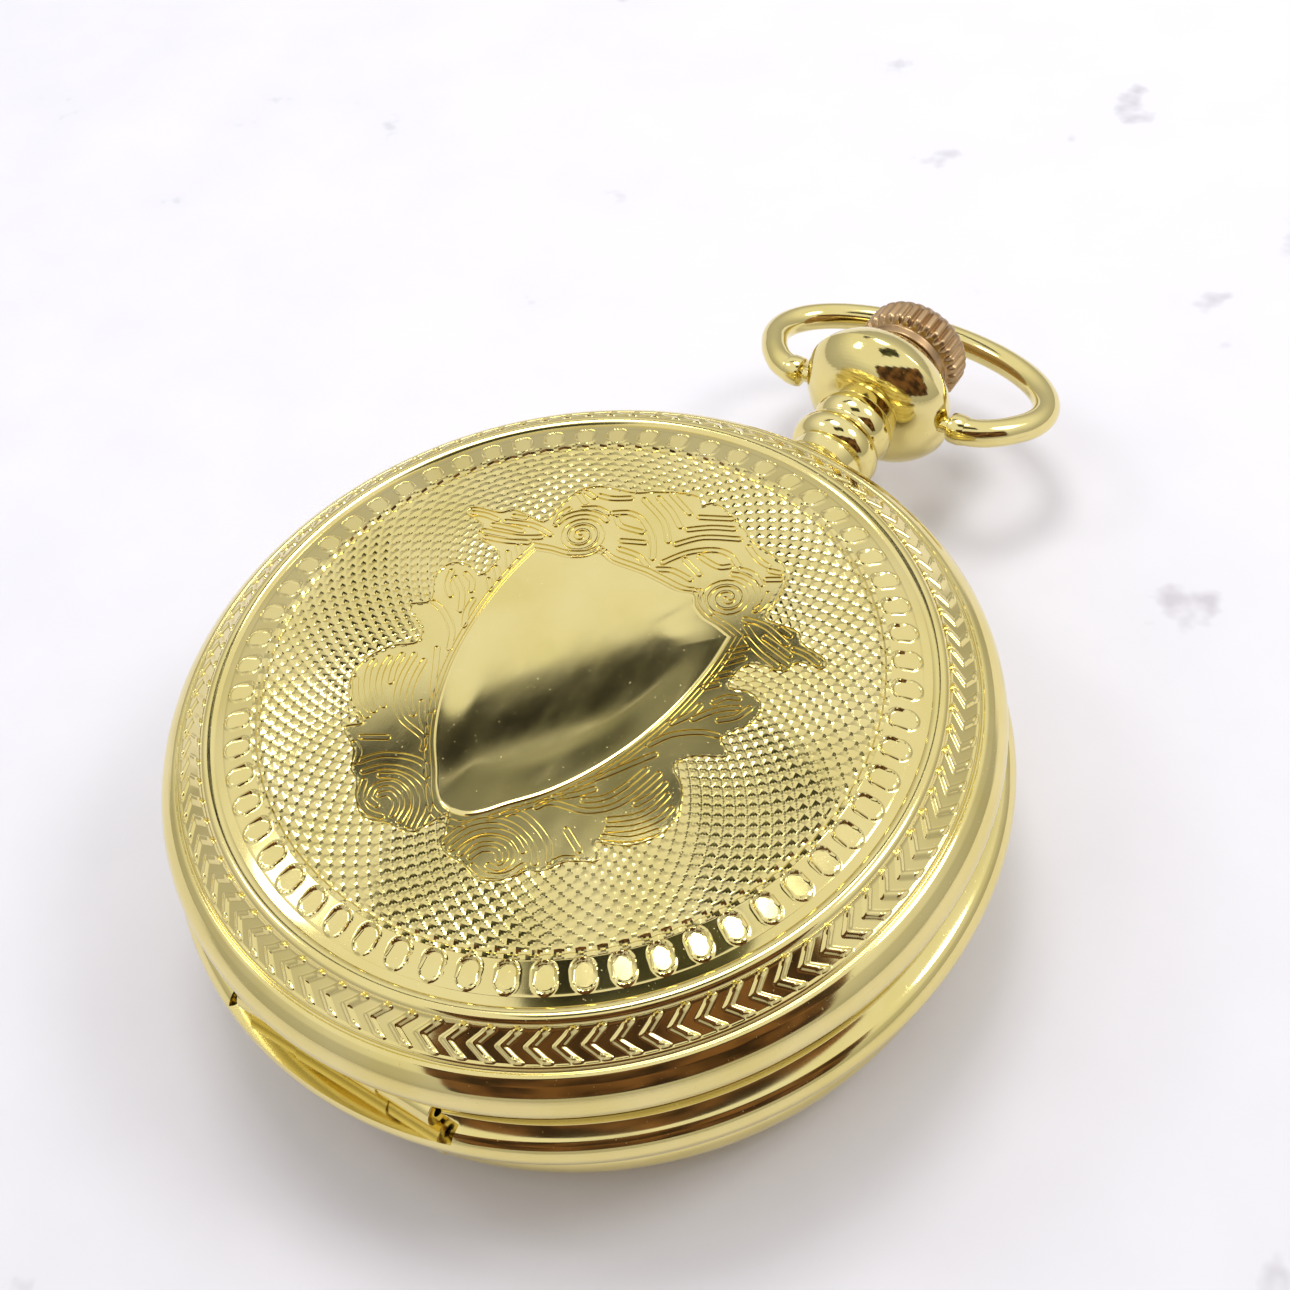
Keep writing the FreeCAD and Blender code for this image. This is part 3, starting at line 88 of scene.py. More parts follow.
def fillet(corners, steps=6):
    """Rounds the corners of an open or closed line; a corner is (r, z) or (r, z, radius)."""
    line = []
    count = len(corners)
    for index, corner in enumerate(corners):
        here = np.array(corner[:2], dtype=float)
        if len(corner) < 3 or index in (0, count - 1):
            line.append(here)
            continue
        before = np.array(corners[index - 1][:2], dtype=float) - here
        after = np.array(corners[index + 1][:2], dtype=float) - here
        reach = min(corner[2], 0.49 * np.linalg.norm(before), 0.49 * np.linalg.norm(after))
        start = here + before / np.linalg.norm(before) * reach
        end = here + after / np.linalg.norm(after) * reach
        for share in np.linspace(0, 1, steps + 1):
            line.append((1 - share) ** 2 * start + 2 * share * (1 - share) * here + share ** 2 * end)
    return np.array(line)


def lathe_points(line, segments):
    turns = np.arange(segments) * FULL_TURN / segments
    line = np.asarray(line, dtype=float)
    radius, height = line[:, 0][:, None], line[:, 1][:, None]
    points = np.stack([radius * np.cos(turns), radius * np.sin(turns), height + 0 * turns], axis=-1)
    return points.reshape(-1, 3)


def strip_faces(rows, columns, closed_rows=False, closed_columns=True):
    """Quads over a grid of rows by columns."""
    faces = []
    for row in range(rows if closed_rows else rows - 1):
        below = (row + 1) % rows
        for column in range(columns if closed_columns else columns - 1):
            beside = (column + 1) % columns
            faces.append((row * columns + column, row * columns + beside, below * columns + beside,
                          below * columns + column))
    return faces


def lathe(name, line, material, segments=360, closed=True, sharp=40):
    """A turned piece about +Z; a closed line makes a ring, and an open one is capped on the axis."""
    line = np.asarray(line, dtype=float)
    points = lathe_points(line, segments)
    faces = strip_faces(len(line), segments, closed_rows=closed)
    if not closed:
        last = (len(line) - 1) * segments
        faces.append(tuple(range(segments)))
        faces.append(tuple(last + column for column in reversed(range(segments))))
    return new_piece(name, points, faces, material, sharp)


def relief_ring(name, radii, columns, height, floor, material, sharp=60):
    """A closed ring whose top is height(radius, angle) and whose underside is flat, at the height floor."""
    radii = np.asarray(radii, dtype=float)
    turns = np.arange(columns) * FULL_TURN / columns
    grid_r, grid_t = np.meshgrid(radii, turns, indexing="ij")
    top = np.stack([grid_r * np.cos(grid_t), grid_r * np.sin(grid_t), height(grid_r, grid_t)], axis=-1)
    under = top[[-1, 0]].copy()
    under[:, :, 2] = floor
    points = np.concatenate([top, under]).reshape(-1, 3)
    faces = strip_faces(len(radii) + 2, columns, closed_rows=True)
    return new_piece(name, points, [face[::-1] for face in faces], material, sharp)


def baked(piece):
    """Applies the piece's modifiers."""
    evaluated = piece.evaluated_get(bpy.context.evaluated_depsgraph_get())
    mesh = bpy.data.meshes.new_from_object(evaluated)
    piece.modifiers.clear()
    piece.data = mesh


def carve(piece, cutters, sharp=40):
    """Cuts pieces out of a piece, then removes them."""
    for cutter in cutters:
        modifier = piece.modifiers.new("Carve", "BOOLEAN")
        modifier.operation = "DIFFERENCE"
        modifier.solver = "EXACT"
        modifier.object = cutter
    baked(piece)
    for cutter in cutters:
        bpy.data.objects.remove(cutter)
    shade(piece, sharp)


def joined(name, pieces):
    """One object made of several."""
    with bpy.context.temp_override(active_object=pieces[0], selected_editable_objects=pieces):
        bpy.ops.object.join()
    pieces[0].name = name
    return pieces[0]


def turn_along(piece, axis, place):
    """Lays a piece made about +Z along another axis, and moves it there; place is in millimetres."""
    spin = Vector((0, 0, 1)).rotation_difference(Vector(axis)).to_matrix().to_4x4()
    piece.data.transform(Matrix.Translation(Vector(place) * MM) @ spin)


def box_piece(name, low, high, material):
    (x0, y0, z0), (x1, y1, z1) = low, high
    points = [(x, y, z) for z in (z0, z1) for y in (y0, y1) for x in (x0, x1)]
    faces = [(0, 2, 3, 1), (4, 5, 7, 6), (0, 1, 5, 4), (2, 6, 7, 3), (0, 4, 6, 2), (1, 3, 7, 5)]
    return new_piece(name, points, faces, material)


def bevelled(piece, width, segments=3):
    modifier = piece.modifiers.new("Soft", "BEVEL")
    modifier.width = width * MM
    modifier.segments = segments
    modifier.limit_method = "ANGLE"
    modifier.angle_limit = math.radians(35)
    baked(piece)
    shade(piece, 50)
    return piece


def rod(name, radius, length, edge, material, segments=64):
    """A cylinder about +Z with rounded edges, from 0 to length."""
    line = fillet([(0.02, 0), (radius, 0, edge), (radius, length, edge), (0.02, length)])
    return lathe(name, line, material, segments, closed=False)


# ---- materials ----

def new_material(name):
    material = bpy.data.materials.new(name)
    material.use_nodes = True
    nodes = material.node_tree.nodes
    return material, nodes, material.node_tree.links, nodes["Principled BSDF"]


def noise_node(nodes, links, scale, detail=4, stretch=(1, 1, 1)):
    """Noise in object space; scale is in features per millimetre."""
    place = nodes.new("ShaderNodeTexCoord")
    mapping = nodes.new("ShaderNodeMapping")
    mapping.inputs["Scale"].default_value = [value / MM for value in stretch]
    noise = nodes.new("ShaderNodeTexNoise")
    noise.inputs["Scale"].default_value = scale
    noise.inputs["Detail"].default_value = detail
    links.new(place.outputs["Object"], mapping.inputs["Vector"])
    links.new(mapping.outputs["Vector"], noise.inputs["Vector"])
    return noise


def ramp_node(nodes, links, source, stops):
    ramp = nodes.new("ShaderNodeValToRGB")
    elements = ramp.color_ramp.elements
    while len(elements) < len(stops):
        elements.new(0.5)
    for element, (place, colour) in zip(elements, stops):
        element.position = place
        element.color = (*colour, 1) if isinstance(colour, tuple) else (colour, colour, colour, 1)
    links.new(source, ramp.inputs["Fac"])
    return ramp


def bump_node(nodes, links, shader, height, strength, distance):
    bump = nodes.new("ShaderNodeBump")
    bump.inputs["Strength"].default_value = strength
    bump.inputs["Distance"].default_value = distance * MM
    links.new(height, bump.inputs["Height"])
    links.new(bump.outputs["Normal"], shader.inputs["Normal"])
    return bump


def polished_metal(name, dark, bright, rough_low, rough_high, grain=0.25, dust=0.35, bump=0.05):
    """Plated metal: slow colour drift, smeared polish, fine hairlines and specks of dust."""
    material, nodes, links, shader = new_material(name)
    shader.inputs["Metallic"].default_value = 1
    drift = noise_node(nodes, links, grain)
    tint = ramp_node(nodes, links, drift.outputs["Fac"], [(0.3, dark), (0.7, bright)])
    links.new(tint.outputs["Color"], shader.inputs["Base Color"])
    smear = noise_node(nodes, links, 0.5, 6, (1, 0.4, 1))
    rough = ramp_node(nodes, links, smear.outputs["Fac"], [(0.35, rough_low), (0.75, rough_high)])
    specks = noise_node(nodes, links, 7.0, 2)
    speck_mask = ramp_node(nodes, links, specks.outputs["Fac"], [(0.70, 0.0), (0.78, dust)])
    add = nodes.new("ShaderNodeMath")
    add.operation = "ADD"
    links.new(rough.outputs["Color"], add.inputs[0])
    links.new(speck_mask.outputs["Color"], add.inputs[1])
    links.new(add.outputs[0], shader.inputs["Roughness"])
    hair = noise_node(nodes, links, 1.2, 8, (8, 0.8, 2))
    bump_node(nodes, links, shader, hair.outputs["Fac"], bump, 0.01)
    return material


GOLD_DARK, GOLD_BRIGHT = (0.76, 0.64, 0.24), (0.82, 0.70, 0.31)
GOLD = polished_metal("gold", GOLD_DARK, GOLD_BRIGHT, 0.07, 0.13, bump=0.02)
SHIELD_GOLD = polished_metal("gold_shield", GOLD_DARK, GOLD_BRIGHT, 0.05, 0.10, bump=0.0015)


def smooth_line(points, closed=False, steps=8):
    """A Catmull-Rom line through the points."""
    points = np.asarray(points, dtype=float)
    count = len(points)
    line = []
    for index in range(count if closed else count - 1):
        near = [index + shift for shift in (-1, 0, 1, 2)]
        p0, p1, p2, p3 = (points[spot % count if closed else min(max(spot, 0), count - 1)] for spot in near)
        for share in np.arange(steps) / steps:
            line.append(0.5 * (2 * p1 + (p2 - p0) * share + (2 * p0 - 5 * p1 + 4 * p2 - p3) * share ** 2
                               + (3 * p1 - p0 - 3 * p2 + p3) * share ** 3))
    if not closed:
        line.append(points[-1])
    return np.array(line)


def bulged(corners, steps=14):
    """A line through (r, z) corners; a third number is the radius of an outward arc to the next corner."""
    line = []
    for corner, after in zip(corners, corners[1:]):
        line.append(corner[:2])
        if len(corner) < 3:
            continue
        start, end = np.array(corner[:2], dtype=float), np.array(after[:2], dtype=float)
        chord = end - start
        length = np.linalg.norm(chord)
        side = np.array([chord[1], -chord[0]]) / length
        side = side if side[0] > 0 else -side
        drop = math.sqrt(max(corner[2] ** 2 - length ** 2 / 4, 0))
        centre = (start + end) / 2 - side * drop
        first = math.atan2(*(start - centre)[::-1])
        last = math.atan2(*(end - centre)[::-1])
        for share in np.arange(1, steps) / steps:
            turn = first + (last - first) * share
            line.append(tuple(centre + corner[2] * np.array([math.cos(turn), math.sin(turn)])))
    line.append(corners[-1][:2])
    return line


def eased(line, radius):
    """Gives every corner of a line the same small rounding."""
    return fillet([(*point[:2], radius) for point in line], 3)


def tube_points(path, radius, ring):
    """Rings round a level path, without caps."""
    path = np.asarray(path, dtype=float)
    ahead = np.gradient(path, axis=0)
    ahead /= np.linalg.norm(ahead, axis=1)[:, None]
    side = np.cross(ahead, (0.0, 0.0, 1.0))
    side /= np.linalg.norm(side, axis=1)[:, None]
    lift = np.cross(side, ahead)
    turns = np.arange(ring) * FULL_TURN / ring
    across = np.cos(turns)[None, :, None] * side[:, None]
    above = np.sin(turns)[None, :, None] * lift[:, None]
    return (path[:, None] + radius * (across + above)).reshape(-1, 3)


def tube(name, path, radius, material, ring=32):
    points = tube_points(path, radius, ring)
    faces = [face[::-1] for face in strip_faces(len(path), ring)]
    faces.append(tuple(range(ring)))
    faces.append(tuple((len(path) - 1) * ring + column for column in reversed(range(ring))))
    return new_piece(name, points, faces, material)


# ---- the engraved covers ----

OVALS = 60
OVAL_START = math.radians(2)
CHEVRONS = 96
BARLEYCORNS = 100
ROW_PITCH = 0.42
GROUND = 16.30
RELIEF_DEPTH = 0.13
DISC_START = 4.2
FIELD_FLOOR, OVAL_FLOOR, CHEVRON_FLOOR = 15.9, 15.4, 14.0
OVAL_RADII = np.arange(16.86, 18.62, 0.05)
CHEVRON_RADII = np.arange(19.93, 21.47, 0.05)
CHEVRON_MID = 20.7
CHEVRON_SLANT = 1.35

# The ornament's own frame: its unit is nearly the disc's radius, and it sits a little off the middle.
UNIT = 16.72
ORNAMENT_SHIFT = -0.008

# Right half of the plain ground's edge, from the tip to the top: (across, along) in units of the disc.
PLAIN_HALF = [
    (0, -0.60), (0.03, -0.66), (0.06, -0.715), (0.15, -0.725), (0.22, -0.745), (0.285, -0.705),
    (0.325, -0.65), (0.37, -0.625), (0.41, -0.565), (0.49, -0.515), (0.45, -0.468), (0.53, -0.435), (0.595, -0.36),
    (0.605, -0.27), (0.565, -0.185), (0.50, -0.13), (0.53, -0.07), (0.62, -0.02), (0.57, 0.03), (0.62, 0.12),
    (0.61, 0.19), (0.55, 0.215), (0.49, 0.20), (0.475, 0.24), (0.495, 0.31), (0.60, 0.335), (0.62, 0.385),
    (0.70, 0.40), (0.69, 0.435), (0.60, 0.455), (0.555, 0.49), (0.44, 0.49), (0.43, 0.57), (0.415, 0.66),
    (0.36, 0.715), (0.24, 0.745), (0.18, 0.78), (0.09, 0.82), (0.03, 0.83), (0, 0.80),
]


def ornament_frame(across, along):
    """The place on the disc, in millimetres, of a point in the ornament's frame."""
    return UNIT * (across + ORNAMENT_SHIFT), UNIT * along


def plain_outline():
    right = smooth_line(PLAIN_HALF, steps=5)
    return np.concatenate([right, right[1:-1][::-1] * [-1, 1]])


def plain_share(x, y):
    """1 on the plain ground round the ornament and 0 on the barleycorn field."""
    outline = plain_outline()
    px, py = x / UNIT - ORNAMENT_SHIFT, y / UNIT
    nearest = np.full_like(x, 9.0)
    inside = np.zeros(x.shape, dtype=bool)
    for (ax, ay), (bx, by) in zip(outline, np.roll(outline, -1, axis=0)):
        reach = (px - ax) * (bx - ax) + (py - ay) * (by - ay)
        along = np.clip(reach / ((bx - ax) ** 2 + (by - ay) ** 2), 0, 1)
        nearest = np.minimum(nearest, np.hypot(px - ax - along * (bx - ax), py - ay - along * (by - ay)))
        if ay != by:
            inside ^= ((ay > py) != (by > py)) & (px < (bx - ax) * (py - ay) / (by - ay) + ax)
    return smooth_step(-0.006, 0.006, np.where(inside, nearest, -nearest))


def barleycorn(radius, turn):
    """0 to 1: staggered rows of small pyramids."""
    row = (DISC_R - radius) / ROW_PITCH
    best = np.zeros_like(radius)
    for shift in (-1, 0, 1, 2):
        near = np.floor(row) + shift
        place = turn / FULL_TURN * BARLEYCORNS + 0.5 * (near % 2)
        across = np.abs(place - np.round(place)) * 2
        best = np.maximum(best, 1 - across - np.abs(row - near))
    return np.clip(best, 0, 1)


def disc_height(plain):
    def height(radius, turn):
        x, y = radius * np.cos(turn), radius * np.sin(turn)
        field = THICK - RELIEF_DEPTH * (1 - barleycorn(radius, turn))
        line = 1 - smooth_step(0.03, 0.09, np.abs(radius - DISC_R + 0.12))
        field = field - 0.1 * line
        share = plain(x, y)
        return field * (1 - share) + GROUND * share
    return height


def slope_height(radius, table):
    return THICK - np.interp(radius, [r for r, _ in table], [depth for _, depth in table])


OVAL_SLOPE = [(16.7, 0.02), (16.95, 0.16), (18.5, 0.6), (18.7, 0.68)]
CHEVRON_SLOPE = [(19.9, 0.94), (20.0, 1.0), (21.4, 2.1), (21.5, 2.2)]


def oval_height(radius, turn):
    ground = slope_height(radius, OVAL_SLOPE)
    pitch = FULL_TURN / OVALS
    sideways = ((turn - OVAL_START + pitch / 2) % pitch - pitch / 2) * radius
    straight = np.clip(radius, 17.53, 17.95)
    reach = np.hypot(sideways, radius - straight)
    inside = 1 - smooth_step(0.44, 0.52, reach)
    floor = THICK - 0.40 - 0.15 * (radius - 17.7)
    lip = 0.07 * np.exp(-((reach - 0.56) / 0.05) ** 2)
    return ground * (1 - inside) + floor * inside + lip


def chevron_height(radius, turn):
    ground = slope_height(radius, CHEVRON_SLOPE)
    pitch = FULL_TURN / CHEVRONS
    arm = np.abs(radius - CHEVRON_MID)
    along = (turn * CHEVRON_MID - CHEVRON_SLANT * arm) / CHEVRON_MID
    sideways = ((along + pitch / 2) % pitch - pitch / 2) * CHEVRON_MID / math.hypot(1, CHEVRON_SLANT)
    ridge = np.clip(1 - (np.abs(sideways) / 0.19) ** 2, 0, 1)
    ends = 1 - smooth_step(0.58, 0.66, arm)
    knob = 0.06 * smooth_step(0.42, 0.52, arm)
    lines = sum(np.exp(-((radius - mid) / 0.05) ** 2) for mid in (19.98, 21.42))
    return ground + (0.13 + knob) * ridge * ends - 0.05 + 0.06 * lines


RIM_LINE = [
    (18.55, 0.66), (18.85, 0.74), (19.05, 0.80), (19.2, 0.70), (19.45, 0.64), (19.7, 0.68), (19.86, 0.84),
    (19.95, 0.96), (20.0, 1.3), (19.2, 1.3), (18.6, 1.0),
]
BAND_LINE = [
    (21.36, 2.12), (21.5, 2.2), (21.55, 2.34), (21.65, 2.38), (21.72, 2.32), (21.9, 2.40), (22.2, 2.63),
]


def cover_pieces(label, material, plain, inset=0):
    """The turned and engraved parts of a front cover, on top at the full thickness; inset draws them in."""
    radii = np.arange(DISC_START, DISC_R + 0.26, ROW_PITCH / 4)
    radii = DISC_R + 0.24 - (radii - radii[0])[::-1]
    pieces = [
        relief_ring(label + "_field", np.sort(radii), BARLEYCORNS * 8, disc_height(plain), FIELD_FLOOR,
                    material, 14),
        relief_ring(label + "_ovals", OVAL_RADII, OVALS * 28, oval_height, OVAL_FLOOR, material, 35),
        relief_ring(label + "_chevrons", CHEVRON_RADII, CHEVRONS * 22, chevron_height, CHEVRON_FLOOR,
                    material, 35),
        lathe(label + "_bead", [(r, THICK - depth) for r, depth in RIM_LINE], material, 360, sharp=50),
    ]
    if inset:
        for piece in pieces:
            draw_in(piece, inset)
    bead = bulged([(22.44, -2.88, 1.75), (22.4, -5.4)])
    outer = BAND_LINE + [(r, -z) for r, z in bead]
    inner = [(21.85, 5.36), (21.85, 3.4), (21.3, 3.0), (21.2, 2.9)]
    wall_line = [(r - inset, THICK - depth) for r, depth in outer + inner]
    wall = lathe(label + "_wall", eased(wall_line, 0.06), material, 480, sharp=35)
    lining = [(0.02, 0.55), (16.6, 0.55), (18.4, 1.2), (19.9, 1.65), (20.9, 2.7), (21.4, 3.05),
              (21.4, 2.6), (20.2, 1.3), (18.5, 0.9), (16.6, 0.35), (0.02, 0.35)]
    lining = [(max(r - inset, 0.02), THICK - depth) for r, depth in lining]
    pieces.append(lathe(label + "_lining", lining, material, 240, closed=False))
    carve(wall, hinge_cones(HINGE_Z + 0.6), 35)
    pieces.append(wall)
    pieces.append(knuckle(label, material))
    return pieces


def draw_in(piece, inset):
    """Moves every point of a ring towards the axis."""
    for vertex in piece.data.vertices:
        radius = math.hypot(vertex.co.x, vertex.co.y)
        share = max(radius - inset * MM, 0) / radius
        vertex.co.x *= share
        vertex.co.y *= share


def hinge_cones(height):
    """The tapered drill notches at both ends of a hinge, as cutters."""
    cones = []
    for side in (1, -1):
        cone = lathe("Drill", [(0.02, 0), (1.1, 0), (0.25, 3.6), (0.02, 3.6)], GOLD, 48, closed=False)
        turn_along(cone, (side, 0, 0), (side * KNUCKLE_OUT, -HINGE_Y - 0.95, height))
        cones.append(cone)
    return cones


def knuckle(label, material):
    """A cover's hinge knuckle with the strap that joins it to the rim."""
    half = KNUCKLE_IN - 0.1
    turns = np.radians([*range(-170, 90, 10), 170, 180])
    ring = [(-HINGE_Y + KNUCKLE_R * math.cos(turn), HINGE_Z + KNUCKLE_R * math.sin(turn)) for turn in turns]
    strap = [(-HINGE_Y - 0.1, HINGE_Z + 1.7), (-HINGE_Y - 0.9, HINGE_Z + 1.7)]
    outline = ring[:-2] + strap + ring[-2:]
    count = len(outline)
    points = [(x, y, z) for x in (-half, half) for y, z in outline]
    faces = [tuple(range(count)), tuple(count + index for index in reversed(range(count)))]
    for index in range(count):
        after = (index + 1) % count
        faces.append((index, index + count, after + count, after))
    return bevelled(new_piece(label + "_knuckle", points, faces, material), 0.06, 2)


# ---- the ornament ----

SHIELD_HALF = [
    (0, -0.60), (0.05, -0.588), (0.095, -0.55), (0.135, -0.50), (0.22, -0.40), (0.29, -0.28), (0.345, -0.14),
    (0.378, 0), (0.393, 0.13), (0.396, 0.26), (0.386, 0.372),
]
SHIELD_TOP = [(0.33, 0.388), (0.27, 0.398), (0.22, 0.425), (0.188, 0.462), (0.13, 0.448), (0.06, 0.452)]


def shield_outline():
    side = smooth_line(SHIELD_HALF, steps=6)
    top = smooth_line([SHIELD_HALF[-1]] + SHIELD_TOP + [(0, 0.456)], steps=5)
    right = np.concatenate([side, top[1:]])
    left = right[1:-1][::-1] * [-1, 1]
    return np.concatenate([right, left])


def shield(label, material):
    """The polished shield: a clean bevelled edge round a slightly domed top."""
    outline = shield_outline()
    count = len(outline)
    edge = [(1.0, 16.1), (1.0, 16.34), (0.993, 16.385), (0.983, 16.40)]
    shares = [0.97, 0.955, 0.93, 0.9, *np.linspace(0.86, 0.04, 20)]
    rings = edge + [(share, None) for share in shares]
    points = []
    for share, height in rings:
        rise = smooth_step(0, 0.3, 0.985 - share)
        for across, along in outline * share:
            dome = 16.40 + 0.04 * (1 - 0.5 * (across / 0.4) ** 2 - 0.5 * ((along + 0.05) / 0.6) ** 2) * rise
            points.append((*ornament_frame(across, along), dome if height is None else height))
    faces = strip_faces(len(rings), count)
    faces.append(tuple((len(rings) - 1) * count + column for column in range(count)))
    faces.append(tuple(reversed(range(count))))
    return new_piece(label + "_shield", points, faces, material, 25)


BOSS = (0.290, 0.500)
STROKE_HALF = 0.0095

# Right half of the ornament: the middle lines of its round-ended strokes, in units of the disc.
STROKES = [
    # top hatching
    [(0.02, 0.755), (0.12, 0.80)],
    [(0.015, 0.69), (0.08, 0.735), (0.15, 0.765)],
    [(0.015, 0.617), (0.08, 0.685), (0.19, 0.735)],
    [(0.02, 0.53), (0.07, 0.605), (0.14, 0.655), (0.20, 0.662), (0.25, 0.635)],
    [(0.115, 0.61), (0.19, 0.60), (0.225, 0.62)],
    [(0.08, 0.575), (0.155, 0.545)],
    [(0.02, 0.497), (0.07, 0.517), (0.14, 0.512)],
    [(0.235, 0.72), (0.29, 0.69), (0.335, 0.68)],
    [(0.35, 0.665), (0.385, 0.672)],
    [(0.36, 0.628), (0.40, 0.65)],
    # arcs beside the boss
    [(0.265, 0.625), (0.31, 0.628), (0.355, 0.603)],
    [(0.395, 0.58), (0.405, 0.54), (0.395, 0.50)],
    # corner leaves
    [(0.385, 0.455), (0.46, 0.462), (0.555, 0.432)],
    [(0.405, 0.432), (0.48, 0.393), (0.60, 0.362)],
    [(0.43, 0.392), (0.50, 0.362), (0.575, 0.342)],
    [(0.48, 0.422), (0.53, 0.412), (0.585, 0.398)],
    [(0.585, 0.425), (0.63, 0.425), (0.68, 0.412)],
    [(0.505, 0.475), (0.545, 0.465)],
    # dashes beside the shield
    [(0.415, 0.325), (0.45, 0.36)],
    [(0.425, 0.275), (0.465, 0.322)],
    [(0.425, 0.215), (0.46, 0.25)],
    [(0.42, 0.165), (0.45, 0.195)],
    # crescent
    [(0.475, 0.13), (0.50, 0.165), (0.535, 0.18)],
    [(0.455, 0.045), (0.50, 0.11), (0.555, 0.15)],
    [(0.525, 0.08), (0.565, 0.115), (0.585, 0.165)],
    [(0.405, 0.0), (0.435, 0.05), (0.445, 0.10)],
    [(0.39, -0.10), (0.43, -0.035), (0.50, 0.015), (0.555, 0.03)],
    # feathers
    [(0.285, -0.325), (0.34, -0.25), (0.385, -0.18), (0.425, -0.12)],
    [(0.245, -0.40), (0.295, -0.362), (0.335, -0.315)],
    [(0.33, -0.365), (0.38, -0.325), (0.412, -0.26), (0.432, -0.18)],
    [(0.22, -0.455), (0.25, -0.418), (0.35, -0.395), (0.415, -0.345), (0.455, -0.265), (0.475, -0.175)],
    [(0.475, -0.30), (0.50, -0.25), (0.51, -0.195)],
    [(0.435, -0.385), (0.495, -0.338), (0.53, -0.28), (0.54, -0.225)],
    [(0.45, -0.415), (0.515, -0.372), (0.565, -0.305), (0.575, -0.26)],
    [(0.455, -0.442), (0.53, -0.408), (0.585, -0.345)],
    [(0.345, -0.475), (0.42, -0.515)],
    [(0.375, -0.60), (0.39, -0.565), (0.425, -0.545)],
    # tip scroll
    [(0.145, -0.53), (0.18, -0.498), (0.245, -0.503), (0.32, -0.537), (0.365, -0.59)],
    [(0.048, -0.695), (0.07, -0.615), (0.13, -0.557), (0.205, -0.543), (0.28, -0.565), (0.33, -0.615)],
    [(0.083, -0.70), (0.107, -0.63), (0.155, -0.587), (0.22, -0.575), (0.275, -0.60)],
    [(0.117, -0.70), (0.13, -0.645), (0.17, -0.611), (0.225, -0.605), (0.26, -0.638), (0.252, -0.68),
     (0.215, -0.69)],
    [(0.15, -0.695), (0.165, -0.655), (0.205, -0.638), (0.23, -0.657)],
    [(0.175, -0.715), (0.225, -0.722), (0.28, -0.692), (0.305, -0.64)],
]


def scroll(centre, outer, inner, start, turns, steps=18):
    """A spiral that winds inwards."""
    share = np.linspace(0, 1, int(steps * abs(turns)) + 2)
    radius = outer + (inner - outer) * share
    turn = math.radians(start) + FULL_TURN * turns * share
    return np.stack([centre[0] + radius * np.cos(turn), centre[1] + radius * np.sin(turn)], axis=1)


def arc(centre, radius, start, end, steps=10):
    turn = np.radians(np.linspace(start, end, steps))
    return np.stack([centre[0] + radius * np.cos(turn), centre[1] + radius * np.sin(turn)], axis=1)


def stroke_loop(curve, half):
    """The closed outline round a curve, at half the stroke's width from it, with round ends."""
    ahead = np.gradient(curve, axis=0)
    ahead /= np.linalg.norm(ahead, axis=1)[:, None]
    side = np.stack([-ahead[:, 1], ahead[:, 0]], axis=1) * half
    caps = []
    for spot, way, sign in ((curve[-1], ahead[-1], 1), (curve[0], ahead[0], -1)):
        across = np.array([-way[1], way[0]]) * half * sign
        for turn in np.radians([45, 90, 135]):
            caps.append(spot + math.cos(turn) * across + math.sin(turn) * way * half * sign)
    return np.concatenate([curve + side, caps[:3], (curve - side)[::-1], caps[3:]])


def scrollwork():
    """Closed outlines of every stroke right of the middle line."""
    curves = [smooth_line(stroke, steps=5) for stroke in STROKES]
    curves += [scroll(BOSS, 0.079, 0.012, -100, -2.6), arc(BOSS, 0.104, 5, 112), arc(BOSS, 0.106, 190, 250)]
    return [stroke_loop(curve, STROKE_HALF) for curve in curves]


def raised_lines(label, loops, radius, high, material):
    """Fine raised lines along closed loops on the plain ground."""
    ring = 6
    turns = np.arange(ring) * FULL_TURN / ring
    points, faces = [], []
    for loop in loops:
        x, y = ornament_frame(loop[:, 0], loop[:, 1])
        path = np.stack([x, y, np.full_like(x, GROUND - 0.01)], axis=1)
        ahead = np.roll(path, -1, axis=0) - np.roll(path, 1, axis=0)
        ahead /= np.linalg.norm(ahead, axis=1)[:, None]
        side = np.cross(ahead, (0, 0, 1)) * radius
        rings = path[:, None] + np.cos(turns)[None, :, None] * side[:, None]
        rings = rings + np.sin(turns)[None, :, None] * np.array([0, 0, high])
        base = len(points)
        points.extend(rings.reshape(-1, 3).tolist())
        for face in strip_faces(len(path), ring, closed_rows=True):
            faces.append(tuple(base + corner for corner in face))
    return new_piece(label, points, faces, material, 70)


def mirrored(loops):
    return loops + [loop[::-1] * [-1, 1] for loop in loops]


def middle_disc(label, low, material):
    """The plain ground inside the barleycorn rings."""
    line = [(0.02, low), (DISC_START + 0.3, low), (DISC_START + 0.3, GROUND - 0.005), (0.02, GROUND - 0.005)]
    return lathe(label + "_middle", line, material, 160, closed=False)


def no_plain(x, y):
    return 1 - smooth_step(6.15, 6.25, np.hypot(x, y))


def monogram_round(label, material):
    """The back cover's plain round, left for initials: a ring of beading round a slightly domed top."""
    line = fillet([
        (5.55, 16.2), (5.55, 16.37, 0.1), (5.15, 16.37, 0.1), (5.05, 16.26, 0.05), (4.9, 16.26, 0.05),
        (4.75, 16.33, 0.1), (3.4, 16.36, 0.3), (1.7, 16.38, 0.3), (0.02, 16.39),
    ])
    line = np.concatenate([[(0.02, 16.1)], [(5.55, 16.1)], line])
    return lathe(label + "_round", line, material, 240, closed=False)


